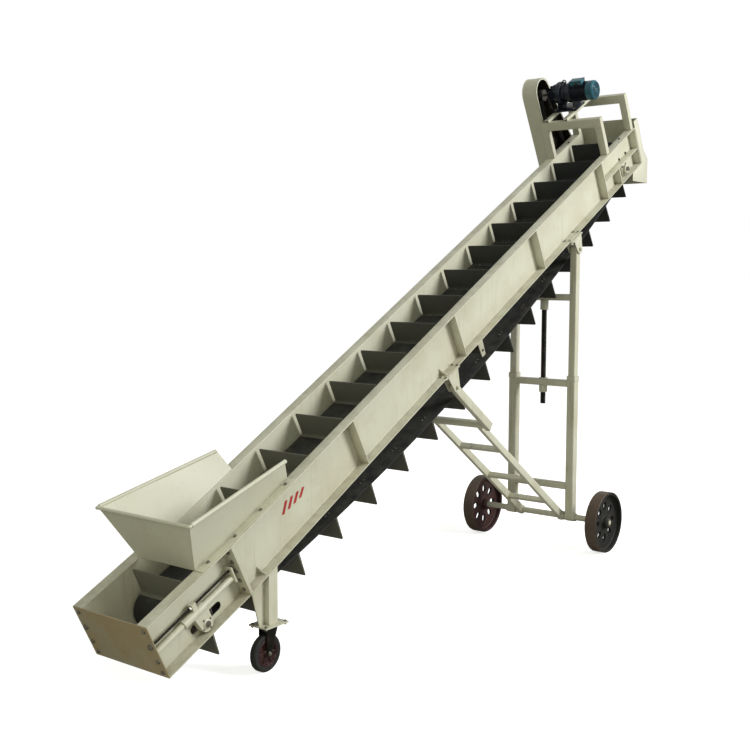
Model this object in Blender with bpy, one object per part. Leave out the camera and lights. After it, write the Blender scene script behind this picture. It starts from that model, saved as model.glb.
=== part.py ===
"""Mobile inclined belt conveyor with a cleated belt, a screw jack stand and road wheels.

World frame: X runs from the tail (loading end) to the head (discharge end), Y to the
left, Z up, the ground at Z = 0.  Pieces of the frame are modelled in slope coordinates
(s along the deck, y across, n square to the deck, n = 0 on the top edge of the sides).
The tail section is a little flatter than the main one, so there are two slope frames.
"""
import math

import bmesh
import bpy
from mathutils import Matrix, Vector

# Driving sizes, in metres and radians
GAP = 0.0003            # seating gap between pieces that rest on each other
TAIL_ANGLE = math.radians(26.2)
MAIN_ANGLE = math.radians(28.8)
TAIL_LENGTH = 0.819     # tail end to section joint
MAIN_LENGTH = 7.15      # section joint to head end
TAIL_HEIGHT = 0.619     # top edge of the tail end above the ground
TAIL_PLATE = 0.006

# Side channels
INNER_WIDTH = 0.540     # between the webs
HALF_INNER = INNER_WIDTH / 2
SIDE_HEIGHT = 0.419
FLANGE_REACH = 0.095    # web inner face to flange edge
WEB = 0.006
FLANGE = 0.008
RIB = 0.010
RIB_PLACES = tuple(TAIL_LENGTH + place for place in (1.484, 3.034, 4.620, 6.144))   # web stiffeners
JOINT_PLATE = 0.012
JOINT_PLATE_REACH = 0.008                   # beyond the flange edges

# Belt, cleats and drums
BELT_WIDTH = INNER_WIDTH - 0.040
BELT_THICK = 0.008
DRUM_RADIUS = 0.126
DRUM_RISE = 0.072       # drum axes above the bottom edge of the sides
BELT_DEPTH = SIDE_HEIGHT - DRUM_RISE - DRUM_RADIUS - BELT_THICK   # carrying face below the top edge
CLEAT_PITCH = 0.470
CLEAT_HEIGHT = BELT_DEPTH - 0.014
CLEAT_BASE = 0.020
CLEAT_TOP = 0.008
CLEAT_WIDTH = BELT_WIDTH - 0.010
BELT_SAG = 0.260
BEND_HALF = 0.030       # the belt turns from one slope to the other within this of the joint
FIRST_CLEAT_S = TAIL_LENGTH + 0.091
DRUM_FACE = BELT_WIDTH + 0.010
SHAFT_RADIUS = 0.0225
TAIL_DRUM_S = TAIL_LENGTH - 0.389
HEAD_DRUM_S = TAIL_LENGTH + MAIN_LENGTH - 0.399
DECK_SHEET = 0.003
DECK_LIP = 0.040
DECK_RIB_STEP = 0.780

# Discharge chute beyond the head end of the sides
CHUTE_REACH = 0.060        # along the deck, at the top
CHUTE_DROP_REACH = 0.160   # level, from there to the apron's lower part

# Wheels and stands
WHEEL_RADIUS = 0.3045
WHEEL_WIDTH = 0.120
WHEEL_FACE_Y = 0.773    # outer faces of the rear wheels
AXLE_RADIUS = 0.030
STUB_RADIUS = 0.024
CASTER_RADIUS = 0.1356
CASTER_WIDTH = 0.055
CASTER_TRAIL = 0.038
CASTER_X = TAIL_LENGTH + 0.331              # swivel axis, from the tail end
CASTER_Y = -(HALF_INNER + 0.040)

# Pivots of the jack stand on the main section, in slope coordinates
BRACE_PIN_S = TAIL_LENGTH + 2.786
BRACE_PIN_N = -SIDE_HEIGHT - 0.149
LEG_PIN_S = TAIL_LENGTH + 5.275
LEG_PIN_N = -SIDE_HEIGHT - 0.127
PIN_RADIUS = 0.012
ARM_Y = HALF_INNER + 0.060                  # centre planes of the brace arms and of the leg tubes
LEG_Y = HALF_INNER + 0.070
BRACKET_PLATE = 0.008
BRACKET_GAP = 0.006     # between a bracket's cheek and what turns in it
EYE_SLACK = 0.005       # round the leg pin, where the stand's linkage is opened

# Return roller in its hangers under the sides
RETURN_S = TAIL_LENGTH + 3.371
RETURN_N = -SIDE_HEIGHT - 0.141
RETURN_ROLLER = 0.030
ROLLER_PIN = 0.010
HANGER_Y = HALF_INNER + 0.020
HANGER_WIDTH = 0.090
HANGER_TAPER = 0.015
HANGER_BELOW = 0.060    # below the roller axis

# Facets round a full turn
ROUND = 32
SMALL_ROUND = 16

FLANGE_EDGE = HALF_INNER + FLANGE_REACH
WEB_OUT = HALF_INNER + WEB
DECK_N = -(BELT_DEPTH + BELT_THICK)
BEND = MAIN_ANGLE - TAIL_ANGLE
MITRE = math.tan(BEND / 2)
HEAD_S = TAIL_LENGTH + MAIN_LENGTH
SIDES = {"near": -1.0, "far": 1.0}


def slope_frame(angle, origin):
    """Matrix from slope coordinates (s, y, n) to the world."""
    along = Vector((math.cos(angle), 0.0, math.sin(angle)))
    normal = Vector((-math.sin(angle), 0.0, math.cos(angle)))
    frame = Matrix.Identity(4)
    for row in range(3):
        frame[row][0] = along[row]
        frame[row][1] = (0.0, 1.0, 0.0)[row]
        frame[row][2] = normal[row]
        frame[row][3] = origin[row]
    return frame


def at(frame, s, n, y=0.0):
    """World place of a point given in a slope frame."""
    return frame @ Vector((s, y, n))


def main_frame(tail_frame):
    """Frame of the main section, which meets the tail section in the same s."""
    joint = at(tail_frame, TAIL_LENGTH, 0.0)
    back = Vector((math.cos(MAIN_ANGLE), 0.0, math.sin(MAIN_ANGLE))) * TAIL_LENGTH
    return slope_frame(MAIN_ANGLE, joint - back)


def start_x():
    """World x of the tail end that puts the middle of the footprint at x = 0."""
    main = main_frame(slope_frame(TAIL_ANGLE, (0.0, 0.0, TAIL_HEIGHT)))
    head = at(main, HEAD_S + CHUTE_REACH, -SIDE_HEIGHT).x + CHUTE_DROP_REACH
    tail = -TAIL_PLATE * math.cos(TAIL_ANGLE)
    return -(head + tail) / 2


X_START = start_x()
TAIL = slope_frame(TAIL_ANGLE, (X_START, 0.0, TAIL_HEIGHT))
MAIN = main_frame(TAIL)
WORLD = Matrix.Identity(4)

BRACE_PIN = at(MAIN, BRACE_PIN_S, BRACE_PIN_N)
LEG_PIN = at(MAIN, LEG_PIN_S, LEG_PIN_N)
AXLE = Vector((LEG_PIN.x, 0.0, WHEEL_RADIUS))
BRACE_LENGTH = (AXLE - BRACE_PIN).length
BRACE_ANGLE = math.atan2(AXLE.z - BRACE_PIN.z, AXLE.x - BRACE_PIN.x)
BRACE = slope_frame(BRACE_ANGLE, BRACE_PIN)
LEG = Matrix.Translation(AXLE)
LEG_LENGTH = LEG_PIN.z - AXLE.z


def material(name, colour, roughness, metallic):
    mat = bpy.data.materials.new(name)
    mat.use_nodes = True
    shader = mat.node_tree.nodes["Principled BSDF"]
    shader.inputs["Base Color"].default_value = (*colour, 1.0)
    shader.inputs["Roughness"].default_value = roughness
    shader.inputs["Metallic"].default_value = metallic
    return mat


def add(name, frame, verts, faces, mat):
    """Object from plain vertices and faces, its normals turned outward."""
    mesh = bpy.data.meshes.new(name)
    mesh.from_pydata([tuple(v) for v in verts], [], faces)
    work = bmesh.new()
    work.from_mesh(mesh)
    bmesh.ops.recalc_face_normals(work, faces=work.faces)
    work.to_mesh(mesh)
    work.free()
    mesh.materials.append(mat)
    obj = bpy.data.objects.new(name, mesh)
    bpy.context.scene.collection.objects.link(obj)
    obj.matrix_world = frame
    return obj


def prism(name, frame, outline, y0, y1, mat):
    """Outline of (s, n) points extruded across the conveyor."""
    count = len(outline)
    verts = [(s, y0, n) for s, n in outline] + [(s, y1, n) for s, n in outline]
    faces = [tuple(range(count)), tuple(range(2 * count - 1, count - 1, -1))]
    for i in range(count):
        j = (i + 1) % count
        faces.append((i, j, j + count, i + count))
    return add(name, frame, verts, faces, mat)


def sweep(name, frame, outline, s0, s1, mat, skew0=0.0, skew1=0.0):
    """Outline of (y, n) points swept along the deck; the skews mitre its ends."""
    count = len(outline)
    verts = [(s0 + skew0 * n, y, n) for y, n in outline]
    verts += [(s1 + skew1 * n, y, n) for y, n in outline]
    faces = [tuple(range(count)), tuple(range(2 * count - 1, count - 1, -1))]
    for i in range(count):
        j = (i + 1) % count
        faces.append((i, j, j + count, i + count))
    return add(name, frame, verts, faces, mat)


def block(name, frame, s, y, n, mat):
    """Box between pairs of limits."""
    return prism(name, frame, [(s[0], n[0]), (s[1], n[0]), (s[1], n[1]), (s[0], n[1])], y[0], y[1], mat)


def arc(centre, radius, start, end, steps):
    """Points on an arc, angles in radians, both ends included."""
    points = []
    for i in range(steps + 1):
        a = start + (end - start) * i / steps
        points.append((centre[0] + radius * math.cos(a), centre[1] + radius * math.sin(a)))
    return points


def lathe(name, frame, centre, axis, profile, mat, steps=ROUND):
    """Closed profile of (radius, along) points turned about an axis through the centre.

    A profile point with radius 0 becomes one vertex on the axis.
    """
    axis = Vector(axis).normalized()
    side = axis.orthogonal().normalized()
    if abs(axis.y) > 0.9:
        side = Vector((1.0, 0.0, 0.0))
    up = axis.cross(side)
    verts = []
    rings = []
    for radius, along in profile:
        if radius == 0.0:
            rings.append([len(verts)] * steps)
            verts.append(Vector(centre) + axis * along)
            continue
        rings.append(list(range(len(verts), len(verts) + steps)))
        for k in range(steps):
            a = 2 * math.pi * k / steps
            spoke = side * (radius * math.cos(a)) + up * (radius * math.sin(a))
            verts.append(Vector(centre) + axis * along + spoke)
    faces = []
    count = len(profile)
    for i in range(count):
        j = (i + 1) % count
        if profile[i][0] == 0.0 and profile[j][0] == 0.0:
            continue
        for k in range(steps):
            m = (k + 1) % steps
            quad = [rings[i][k], rings[i][m], rings[j][m], rings[j][k]]
            faces.append(tuple(dict.fromkeys(quad)))
    return add(name, frame, verts, faces, mat)


def rod(name, frame, start, end, radius, mat, steps=SMALL_ROUND):
    """Solid round bar between two points."""
    start = Vector(start)
    end = Vector(end)
    length = (end - start).length
    profile = [(0.0, 0.0), (radius, 0.0), (radius, length), (0.0, length)]
    return lathe(name, frame, start, end - start, profile, mat, steps)


def across(name, frame, s, n, y0, y1, radius, mat, steps=ROUND):
    """Solid round bar across the conveyor, also used as a drill."""
    return rod(name, frame, (s, y0, n), (s, y1, n), radius, mat, steps)


def pipe(name, frame, start, end, radius, wall, mat, steps=SMALL_ROUND):
    """Round tube, open at both ends, between two points."""
    start = Vector(start)
    end = Vector(end)
    length = (end - start).length
    profile = [(radius - wall, 0.0), (radius, 0.0), (radius, length), (radius - wall, length)]
    return lathe(name, frame, start, end - start, profile, mat, steps)


def closed(mesh):
    """True if every edge of the mesh has two faces."""
    work = bmesh.new()
    work.from_mesh(mesh)
    whole = all(len(edge.link_faces) == 2 for edge in work.edges)
    work.free()
    return whole


def boolean(target, tools, operation):
    """Bake Booleans of the tools into the target, then drop the tools.

    EXACT leaves open edges on a few welds, and those are done by MANIFOLD.
    """
    for solver in ("EXACT", "MANIFOLD"):
        for tool in tools:
            step = target.modifiers.new(operation.lower(), "BOOLEAN")
            step.operation = operation
            step.solver = solver
            step.object = tool
        bpy.context.view_layer.update()
        graph = bpy.context.evaluated_depsgraph_get()
        baked = bpy.data.meshes.new_from_object(target.evaluated_get(graph), depsgraph=graph)
        target.modifiers.clear()
        if closed(baked):
            break
    plain = target.data
    target.data = baked
    bpy.data.meshes.remove(plain)
    baked.name = target.name
    for tool in tools:
        bpy.data.objects.remove(tool)
    return target


def weld(target, *tools):
    return boolean(target, tools, "UNION")


def cut(target, *tools):
    return boolean(target, tools, "DIFFERENCE")


def smooth(obj, angle=math.radians(35)):
    """Shade the rounds smooth and keep the corners sharp."""
    obj.data.shade_smooth()
    work = bmesh.new()
    work.from_mesh(obj.data)
    for edge in work.edges:
        if len(edge.link_faces) == 2 and edge.calc_face_angle() > angle:
            edge.smooth = False
    work.to_mesh(obj.data)
    work.free()
    return obj


def channel_outline(side):
    """C section of a side, web inside and flanges outside, as (y, n) points."""
    points = [
        (HALF_INNER, 0.0),
        (FLANGE_EDGE, 0.0),
        (FLANGE_EDGE, -FLANGE),
        (WEB_OUT, -FLANGE),
        (WEB_OUT, FLANGE - SIDE_HEIGHT),
        (FLANGE_EDGE, FLANGE - SIDE_HEIGHT),
        (FLANGE_EDGE, -SIDE_HEIGHT),
        (HALF_INNER, -SIDE_HEIGHT),
    ]
    return [(side * y, n) for y, n in points]


def plate_outline(side, reach=0.0, over=0.0):
    """Stiffener between the flanges, let into web and flanges."""
    low = -SIDE_HEIGHT + FLANGE / 2 - over
    high = -FLANGE / 2 + over
    inner = side * (WEB_OUT - WEB / 2)
    outer = side * (FLANGE_EDGE - 0.004 + reach)
    return [(inner, high), (outer, high), (outer, low), (inner, low)]


def take_up_slot(side, mat):
    """Round-ended slot for the tail shaft, as a cutter through the web."""
    half = SHAFT_RADIUS + 0.008
    low = (TAIL_DRUM_S - 0.075, drum_n())
    high = (TAIL_DRUM_S + 0.165, drum_n())
    outline = arc(low, half, math.pi / 2, 3 * math.pi / 2, 8) + arc(high, half, -math.pi / 2, math.pi / 2, 8)
    y = sorted((side * (HALF_INNER - 0.02), side * (WEB_OUT + 0.02)))
    return prism("slot", TAIL, outline, y[0], y[1], mat)


def drum_n():
    """Height of both drum axes below the top edge of the sides."""
    return -(BELT_DEPTH + BELT_THICK + DRUM_RADIUS)


def build_sides(paint):
    """Tail and main side channels, near and far, with stiffeners and joint plates."""
    for name, side in SIDES.items():
        tail = sweep("tail_side_" + name, TAIL, channel_outline(side), GAP, TAIL_LENGTH - GAP / 2,
                     paint, 0.0, -MITRE)
        end = TAIL_LENGTH - GAP / 2
        joint = sweep("plate", TAIL, plate_outline(side, 0.004 + JOINT_PLATE_REACH),
                      end - JOINT_PLATE, end, paint, -MITRE, -MITRE)
        weld(tail, joint)
        cut(tail, take_up_slot(side, paint))
        main = sweep("main_side_" + name, MAIN, channel_outline(side), TAIL_LENGTH + GAP / 2, HEAD_S,
                     paint, MITRE, 0.0)
        start = TAIL_LENGTH + GAP / 2
        plates = [sweep("plate", MAIN, plate_outline(side, 0.004 + JOINT_PLATE_REACH),
                        start, start + JOINT_PLATE, paint, MITRE, MITRE)]
        for place in RIB_PLACES + (HEAD_S - RIB / 2 - 0.002,):
            plates.append(sweep("plate", MAIN, plate_outline(side), place - RIB / 2, place + RIB / 2, paint))
        plates.append(return_hanger(side, paint))
        weld(main, *plates)
        cut(main, across("hole", MAIN, HEAD_DRUM_S, drum_n(), side * (HALF_INNER - 0.07),
                         side * (HALF_INNER + 0.03), SHAFT_RADIUS + 0.006, paint),
            across("hole", MAIN, RETURN_S, RETURN_N, side * (HANGER_Y - 0.02), side * (HANGER_Y + 0.03),
                   ROLLER_PIN + GAP, paint, 16))


def return_hanger(side, mat):
    """Plate under the bottom flange that carries one end of the return roller."""
    top = -SIDE_HEIGHT + FLANGE / 2
    half = HANGER_WIDTH / 2
    foot = half - HANGER_TAPER
    low = RETURN_N - HANGER_BELOW
    outline = [(RETURN_S - half, top), (RETURN_S + half, top), (RETURN_S + foot, low), (RETURN_S - foot, low)]
    y = sorted((side * HANGER_Y, side * (HANGER_Y + BRACKET_PLATE)))
    return prism("hanger", MAIN, outline, y[0], y[1], mat)


def build_tail_plate(paint):
    """End plate of the tail, with the holes of the two take-up screws."""
    plate = block("tail_plate", TAIL, (-TAIL_PLATE, 0.0), (-FLANGE_EDGE, FLANGE_EDGE),
                  (-SIDE_HEIGHT, 0.0), paint)
    cut(plate, *[rod("hole", TAIL, (-0.02, side * GUIDE_Y, SCREW_N), (0.02, side * GUIDE_Y, SCREW_N),
                     SCREW_RADIUS + GAP, paint) for side in SIDES.values()])


def deck_outline():
    """Slider bed: a sheet with both edges turned down against the webs."""
    half = HALF_INNER - GAP
    low = DECK_N - DECK_LIP
    return [
        (-half, DECK_N), (-half, low), (-half + DECK_SHEET, low), (-half + DECK_SHEET, DECK_N - DECK_SHEET),
        (half - DECK_SHEET, DECK_N - DECK_SHEET), (half - DECK_SHEET, low), (half, low), (half, DECK_N),
    ]


def build_decks(paint):
    """Slider beds of the two sections, with flat cross ribs under the main one."""
    start = TAIL_DRUM_S + 0.090
    sweep("tail_deck", TAIL, deck_outline(), start, TAIL_LENGTH - GAP / 2, paint, 0.0, -MITRE)
    end = HEAD_DRUM_S - 0.070
    deck = sweep("main_deck", MAIN, deck_outline(), TAIL_LENGTH + GAP / 2, end, paint, MITRE, 0.0)
    half = HALF_INNER - GAP - DECK_SHEET / 2
    count = int((end - TAIL_LENGTH - 0.3) / DECK_RIB_STEP) + 1
    ribs = []
    for i in range(count):
        s = TAIL_LENGTH + 0.25 + i * DECK_RIB_STEP
        ribs.append(block("rib", MAIN, (s - 0.02, s + 0.02), (-half, half),
                          (DECK_N - 0.045, DECK_N - DECK_SHEET / 2), paint))
    weld(deck, *ribs)


def belt_line():
    """Middle line of the inner belt face as world (x, z) points with outward normals.

    Starts on the carrying run over the tail drum and goes round by the head drum and
    the slack return run.  Each point also has its distance along the belt.
    """
    line = []
    wrap = math.pi - math.atan(4 * BELT_SAG / (HEAD_DRUM_S - TAIL_DRUM_S))   # the slack run leaves early
    tail_c = at(TAIL, TAIL_DRUM_S, drum_n())
    head_c = at(MAIN, HEAD_DRUM_S, drum_n())
    radius = (DRUM_RADIUS + GAP) / math.cos(math.pi / 32)

    def put(point, normal):
        line.append((point, normal))

    up_tail = Vector((-math.sin(TAIL_ANGLE), 0.0, math.cos(TAIL_ANGLE)))
    up_main = Vector((-math.sin(MAIN_ANGLE), 0.0, math.cos(MAIN_ANGLE)))
    put(at(TAIL, TAIL_DRUM_S, DECK_N + GAP), up_tail)
    put(at(TAIL, TAIL_LENGTH - BEND_HALF, DECK_N + GAP), up_tail)
    put(at(MAIN, TAIL_LENGTH + BEND_HALF, DECK_N + GAP), up_main)
    steps = 16
    for i in range(steps + 1):
        a = math.pi / 2 + MAIN_ANGLE - wrap * i / steps
        normal = Vector((math.cos(a), 0.0, math.sin(a)))
        put(head_c + normal * radius, normal)
    lower = line[-1][0]
    a_tail = math.pi / 2 + TAIL_ANGLE + wrap
    tail_low = tail_c + Vector((math.cos(a_tail), 0.0, math.sin(a_tail))) * radius
    runs = 24
    chord = tail_low - lower
    square = Vector((chord.z, 0.0, -chord.x)).normalized()
    if square.z > 0:
        square = -square
    for i in range(1, runs):
        t = i / runs
        point = lower + chord * t + square * (BELT_SAG * 4 * t * (1 - t))
        slope = chord + square * (BELT_SAG * 4 * (1 - 2 * t))
        normal = Vector((slope.z, 0.0, -slope.x)).normalized()
        if normal.z > 0:
            normal = -normal
        put(point, normal)
    for i in range(steps + 1):
        a = a_tail - wrap * i / steps
        normal = Vector((math.cos(a), 0.0, math.sin(a)))
        if i < steps:
            put(tail_c + normal * radius, normal)
    return line


def belt_stations():
    """Belt line cut at every cleat foot: (inner point, normal, is_foot_start)."""
    line = belt_line()
    count = len(line)
    lengths = []
    total = 0.0
    for i in range(count):
        lengths.append(total)
        total += (line[(i + 1) % count][0] - line[i][0]).length
    cleats = int(total / CLEAT_PITCH)
    pitch = total / cleats
    first = FIRST_CLEAT_S - TAIL_DRUM_S
    feet = []
    for k in range(cleats):
        middle = (first + k * pitch) % total
        feet.append((middle - CLEAT_BASE / 2) % total)

    def sample(distance):
        distance %= total
        for i in range(count):
            a = lengths[i]
            b = lengths[i + 1] if i + 1 < count else total
            if a <= distance <= b:
                t = (distance - a) / (b - a)
                p0, n0 = line[i]
                p1, n1 = line[(i + 1) % count]
                return p0.lerp(p1, t), n0.lerp(n1, t).normalized()
        return line[0]

    marks = []
    for foot in feet:
        marks.append((foot, True))
        marks.append(((foot + CLEAT_BASE) % total, False))
    for i, distance in enumerate(lengths):
        inside = any((distance - foot) % total < CLEAT_BASE + 0.004 or
                     (foot - distance) % total < 0.004 for foot in feet)
        if not inside:
            marks.append((distance, False))
    marks.sort()
    return [(*sample(distance), foot) for distance, foot in marks]


def build_belt(rubber):
    """Endless belt as one ring, with the cleats grown from its outer face."""
    columns = (-BELT_WIDTH / 2, -CLEAT_WIDTH / 2, CLEAT_WIDTH / 2, BELT_WIDTH / 2)
    stations = belt_stations()
    verts = []
    for point, normal, _foot in stations:
        outer = point + normal * BELT_THICK
        verts.append((point.x, columns[0], point.z))
        verts.append((point.x, columns[3], point.z))
        for y in columns:
            verts.append((outer.x, y, outer.z))
    faces = []
    count = len(stations)
    for i, (point, normal, foot) in enumerate(stations):
        a = 6 * i
        b = 6 * ((i + 1) % count)
        faces.append((a, a + 1, b + 1, b))
        faces.append((a, b, b + 2, a + 2))
        faces.append((a + 1, a + 5, b + 5, b + 1))
        faces.append((a + 2, b + 2, b + 3, a + 3))
        faces.append((a + 4, b + 4, b + 5, a + 5))
        if not foot:
            faces.append((a + 3, b + 3, b + 4, a + 4))
            continue
        nxt = stations[(i + 1) % count]
        middle = (point + nxt[0]) / 2
        rise = ((normal + nxt[1]) / 2).normalized()
        along = (nxt[0] - point).normalized()
        tip = middle + rise * (BELT_THICK + CLEAT_HEIGHT)
        base = len(verts)
        for offset in (-CLEAT_TOP / 2, CLEAT_TOP / 2):
            for y in (columns[1], columns[2]):
                corner = tip + along * offset
                verts.append((corner.x, y, corner.z))
        faces.append((a + 3, a + 4, base + 1, base))
        faces.append((b + 4, b + 3, base + 2, base + 3))
        faces.append((base, base + 1, base + 3, base + 2))
        faces.append((a + 3, base, base + 2, b + 3))
        faces.append((a + 4, b + 4, base + 3, base + 1))
    return add("cleated_belt", WORLD, verts, faces, rubber)


GUARD_Y = (FLANGE_EDGE + GAP, FLANGE_EDGE + 0.170)
SHEAVE_Y = (FLANGE_EDGE + 0.035, FLANGE_EDGE + 0.085)
SHAFT_END = FLANGE_EDGE - 0.020


def build_drums(steel):
    """Tail and head drums with their shafts; the head shaft also carries the sheave."""
    half = DRUM_FACE / 2
    for name, frame, s, left in (("tail_drum", TAIL, TAIL_DRUM_S, SHAFT_END),
                                 ("head_drum", MAIN, HEAD_DRUM_S, SHEAVE_Y[1] + 0.02)):
        profile = [
            (0.0, -SHAFT_END), (SHAFT_RADIUS, -SHAFT_END), (SHAFT_RADIUS, -half), (DRUM_RADIUS, -half),
            (DRUM_RADIUS, half), (SHAFT_RADIUS, half), (SHAFT_RADIUS, left), (0.0, left),
        ]
        smooth(lathe(name, frame, (s, 0.0, drum_n()), (0, 1, 0), profile, steel))


# Take-up: a guide tube and a pulling screw on each side of the tail
GUIDE_Y = HALF_INNER + 0.050
GUIDE_N = drum_n() + 0.122
GUIDE_RADIUS = 0.022
GUIDE_END = TAIL_LENGTH - 0.059
SCREW_N = GUIDE_N + 0.060
SCREW_RADIUS = 0.009
SLEEVE_RADIUS = 0.031
SLEEVE = (TAIL_DRUM_S - 0.165, TAIL_DRUM_S + 0.040)


def build_take_up(paint, steel):
    for name, side in SIDES.items():
        y = side * GUIDE_Y
        tube = pipe("takeup_guide_" + name, TAIL, (GAP, y, GUIDE_N), (GUIDE_END, y, GUIDE_N),
                    GUIDE_RADIUS, 0.003, paint)
        wide = sorted((side * (WEB_OUT + GAP), side * (GUIDE_Y + 0.030)))
        bracket = block("bracket", TAIL, (GUIDE_END - 0.002, GUIDE_END + 0.010), wide,
                        (GUIDE_N - 0.035, SCREW_N + 0.025), paint)
        weld(tube, bracket)
        cut(tube, rod("hole", TAIL, (GUIDE_END - 0.05, y, SCREW_N), (GUIDE_END + 0.05, y, SCREW_N),
                      SCREW_RADIUS + GAP, paint))
        smooth(tube)
        screw = rod("takeup_screw_" + name, TAIL, (-0.022, y, SCREW_N), (GUIDE_END + 0.030, y, SCREW_N),
                    SCREW_RADIUS, steel)
        head = rod("head", TAIL, (-0.022, y, SCREW_N), (-TAIL_PLATE - GAP, y, SCREW_N), 0.017, steel, 6)
        weld(screw, head)
        sleeve = pipe("takeup_block_" + name, TAIL, (SLEEVE[0], y, GUIDE_N), (SLEEVE[1], y, GUIDE_N),
                      SLEEVE_RADIUS, SLEEVE_RADIUS - GUIDE_RADIUS - GAP, paint)
        body_y = sorted((side * (WEB_OUT + 0.003), side * (GUIDE_Y + 0.012)))
        body = prism("body", TAIL, bearing_outline((TAIL_DRUM_S, drum_n()), 0.055, GUIDE_N - 0.027),
                     body_y[0], body_y[1], paint)
        lug = block("lug", TAIL, (TAIL_DRUM_S - 0.060, TAIL_DRUM_S - 0.020),
                    sorted((side * (GUIDE_Y - 0.016), side * (GUIDE_Y + 0.016))),
                    (GUIDE_N + 0.028, SCREW_N + 0.020), paint)
        weld(sleeve, body, lug)
        bore = across("bore", TAIL, TAIL_DRUM_S, drum_n(), y - side * 0.07, y + side * 0.08,
                      SHAFT_RADIUS + GAP, paint)
        thread = rod("bore", TAIL, (TAIL_DRUM_S - 0.13, y, SCREW_N), (TAIL_DRUM_S + 0.07, y, SCREW_N),
                     SCREW_RADIUS + GAP, paint)
        cut(sleeve, bore, thread)


def bearing_outline(centre, radius, top):
    """Round bearing housing with a straight neck up to the guide."""
    lower = arc(centre, radius, math.pi, 2 * math.pi, 12)
    return lower + [(centre[0] + radius, top), (centre[0] - radius - 0.020, top)]


def build_head_bearings(paint):
    """Square flange bearings outside the webs."""
    for name, side in SIDES.items():
        y = sorted((side * (WEB_OUT + GAP), side * (WEB_OUT + 0.016)))
        base = block("head_bearing_" + name, MAIN, (HEAD_DRUM_S - 0.060, HEAD_DRUM_S + 0.060), y,
                     (drum_n() - 0.060, drum_n() + 0.060), paint)
        boss = rod("boss", MAIN, (HEAD_DRUM_S, side * (WEB_OUT + 0.010), drum_n()),
                   (HEAD_DRUM_S, side * (WEB_OUT + 0.048), drum_n()), 0.044, paint, 24)
        weld(base, boss)
        cut(base, across("bore", MAIN, HEAD_DRUM_S, drum_n(), side * (WEB_OUT - 0.016),
                         side * (WEB_OUT + 0.084), SHAFT_RADIUS + GAP, paint))


HOPPER_SHEET = 0.004
HOPPER_FRONT_S = TAIL_LENGTH - 0.279
HOPPER_FRONT_TOP = (TAIL_LENGTH - 0.299, 0.450, 0.417)   # s, y, n of the front top corner
HOPPER_BACK_TOP = (TAIL_LENGTH + 0.718, 0.342, 0.213)
HOPPER_BACK_S = TAIL_LENGTH + 0.741
HOPPER_FOOT_Y = HALF_INNER + 0.006
HOPPER_LIP = 0.018
HOPPER_FOOT_EDGE = HALF_INNER + 0.080


def build_hopper(paint):
    """Loading hopper of one sheet: front, two flared sides, rolled rim and bolting feet.

    Its feet follow the bend between the sections, so each side wall has a middle column.
    """
    foot_n = GAP + HOPPER_SHEET / 2
    lip = HOPPER_LIP
    to_tail = TAIL.inverted()
    back = to_tail @ at(MAIN, HOPPER_BACK_S, foot_n)
    knee = to_tail @ at(MAIN, TAIL_LENGTH, foot_n + 0.0002)
    rim_front = Vector(HOPPER_FRONT_TOP)
    rim_back = Vector(HOPPER_BACK_TOP)
    rim_knee = rim_front.lerp(rim_back, (TAIL_LENGTH - rim_front.x) / (rim_back.x - rim_front.x))

    def columns(side):
        """Lip, rim, foot and foot edge of one side wall, from front to back."""
        feet = ((HOPPER_FRONT_S, foot_n), (knee.x, knee.z), (back.x, back.z))
        rows = [[], [], [], []]
        for k, (rim, (s, n)) in enumerate(zip((rim_front, rim_knee, rim_back), feet)):
            ahead = lip if k == 0 else 0.0
            rows[0].append((rim.x - ahead, side * (rim.y + lip), rim.z - 0.004))
            rows[1].append((rim.x, side * rim.y, rim.z))
            rows[2].append((s, side * HOPPER_FOOT_Y, n))
            rows[3].append((s, side * HOPPER_FOOT_EDGE, n))
        return rows

    verts = []
    index = {}
    for name, side in SIDES.items():
        for i, row in enumerate(columns(side)):
            for j, point in enumerate(row):
                index[name, i, j] = len(verts)
                verts.append(point)
    faces = []
    for name in SIDES:
        for i in range(3):
            for j in range(2):
                faces.append((index[name, i, j], index[name, i, j + 1],
                              index[name, i + 1, j + 1], index[name, i + 1, j]))
    for i in (0, 1):
        faces.append((index["near", i, 0], index["far", i, 0],
                      index["far", i + 1, 0], index["near", i + 1, 0]))
    hopper = add("hopper", TAIL, verts, faces, paint)
    sheet = hopper.modifiers.new("sheet", "SOLIDIFY")
    sheet.thickness = HOPPER_SHEET
    sheet.offset = 0.0
    sheet.use_even_offset = True


# Motor stand, motor and belt drive at the head
PORTALS = (("motor_portal_low", 7.150), ("motor_portal_high", 7.850))
PORTAL_DEPTH = 0.060
PORTAL_TOP = 0.400
PORTAL_BAR = 0.090
PORTAL_LEG = 0.075
PORTAL_WALL = 0.006
RAIL_HEIGHT = 0.050
RAIL_WIDTH = 0.050
RAIL_Y = (0.020, 0.240)
MOTOR_S = 7.500
MOTOR_N = 0.610
MOTOR_RADIUS = 0.097
FAN_END = -0.210
MOTOR_GEAR_Y = 0.090
GEAR_END = 0.290


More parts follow.
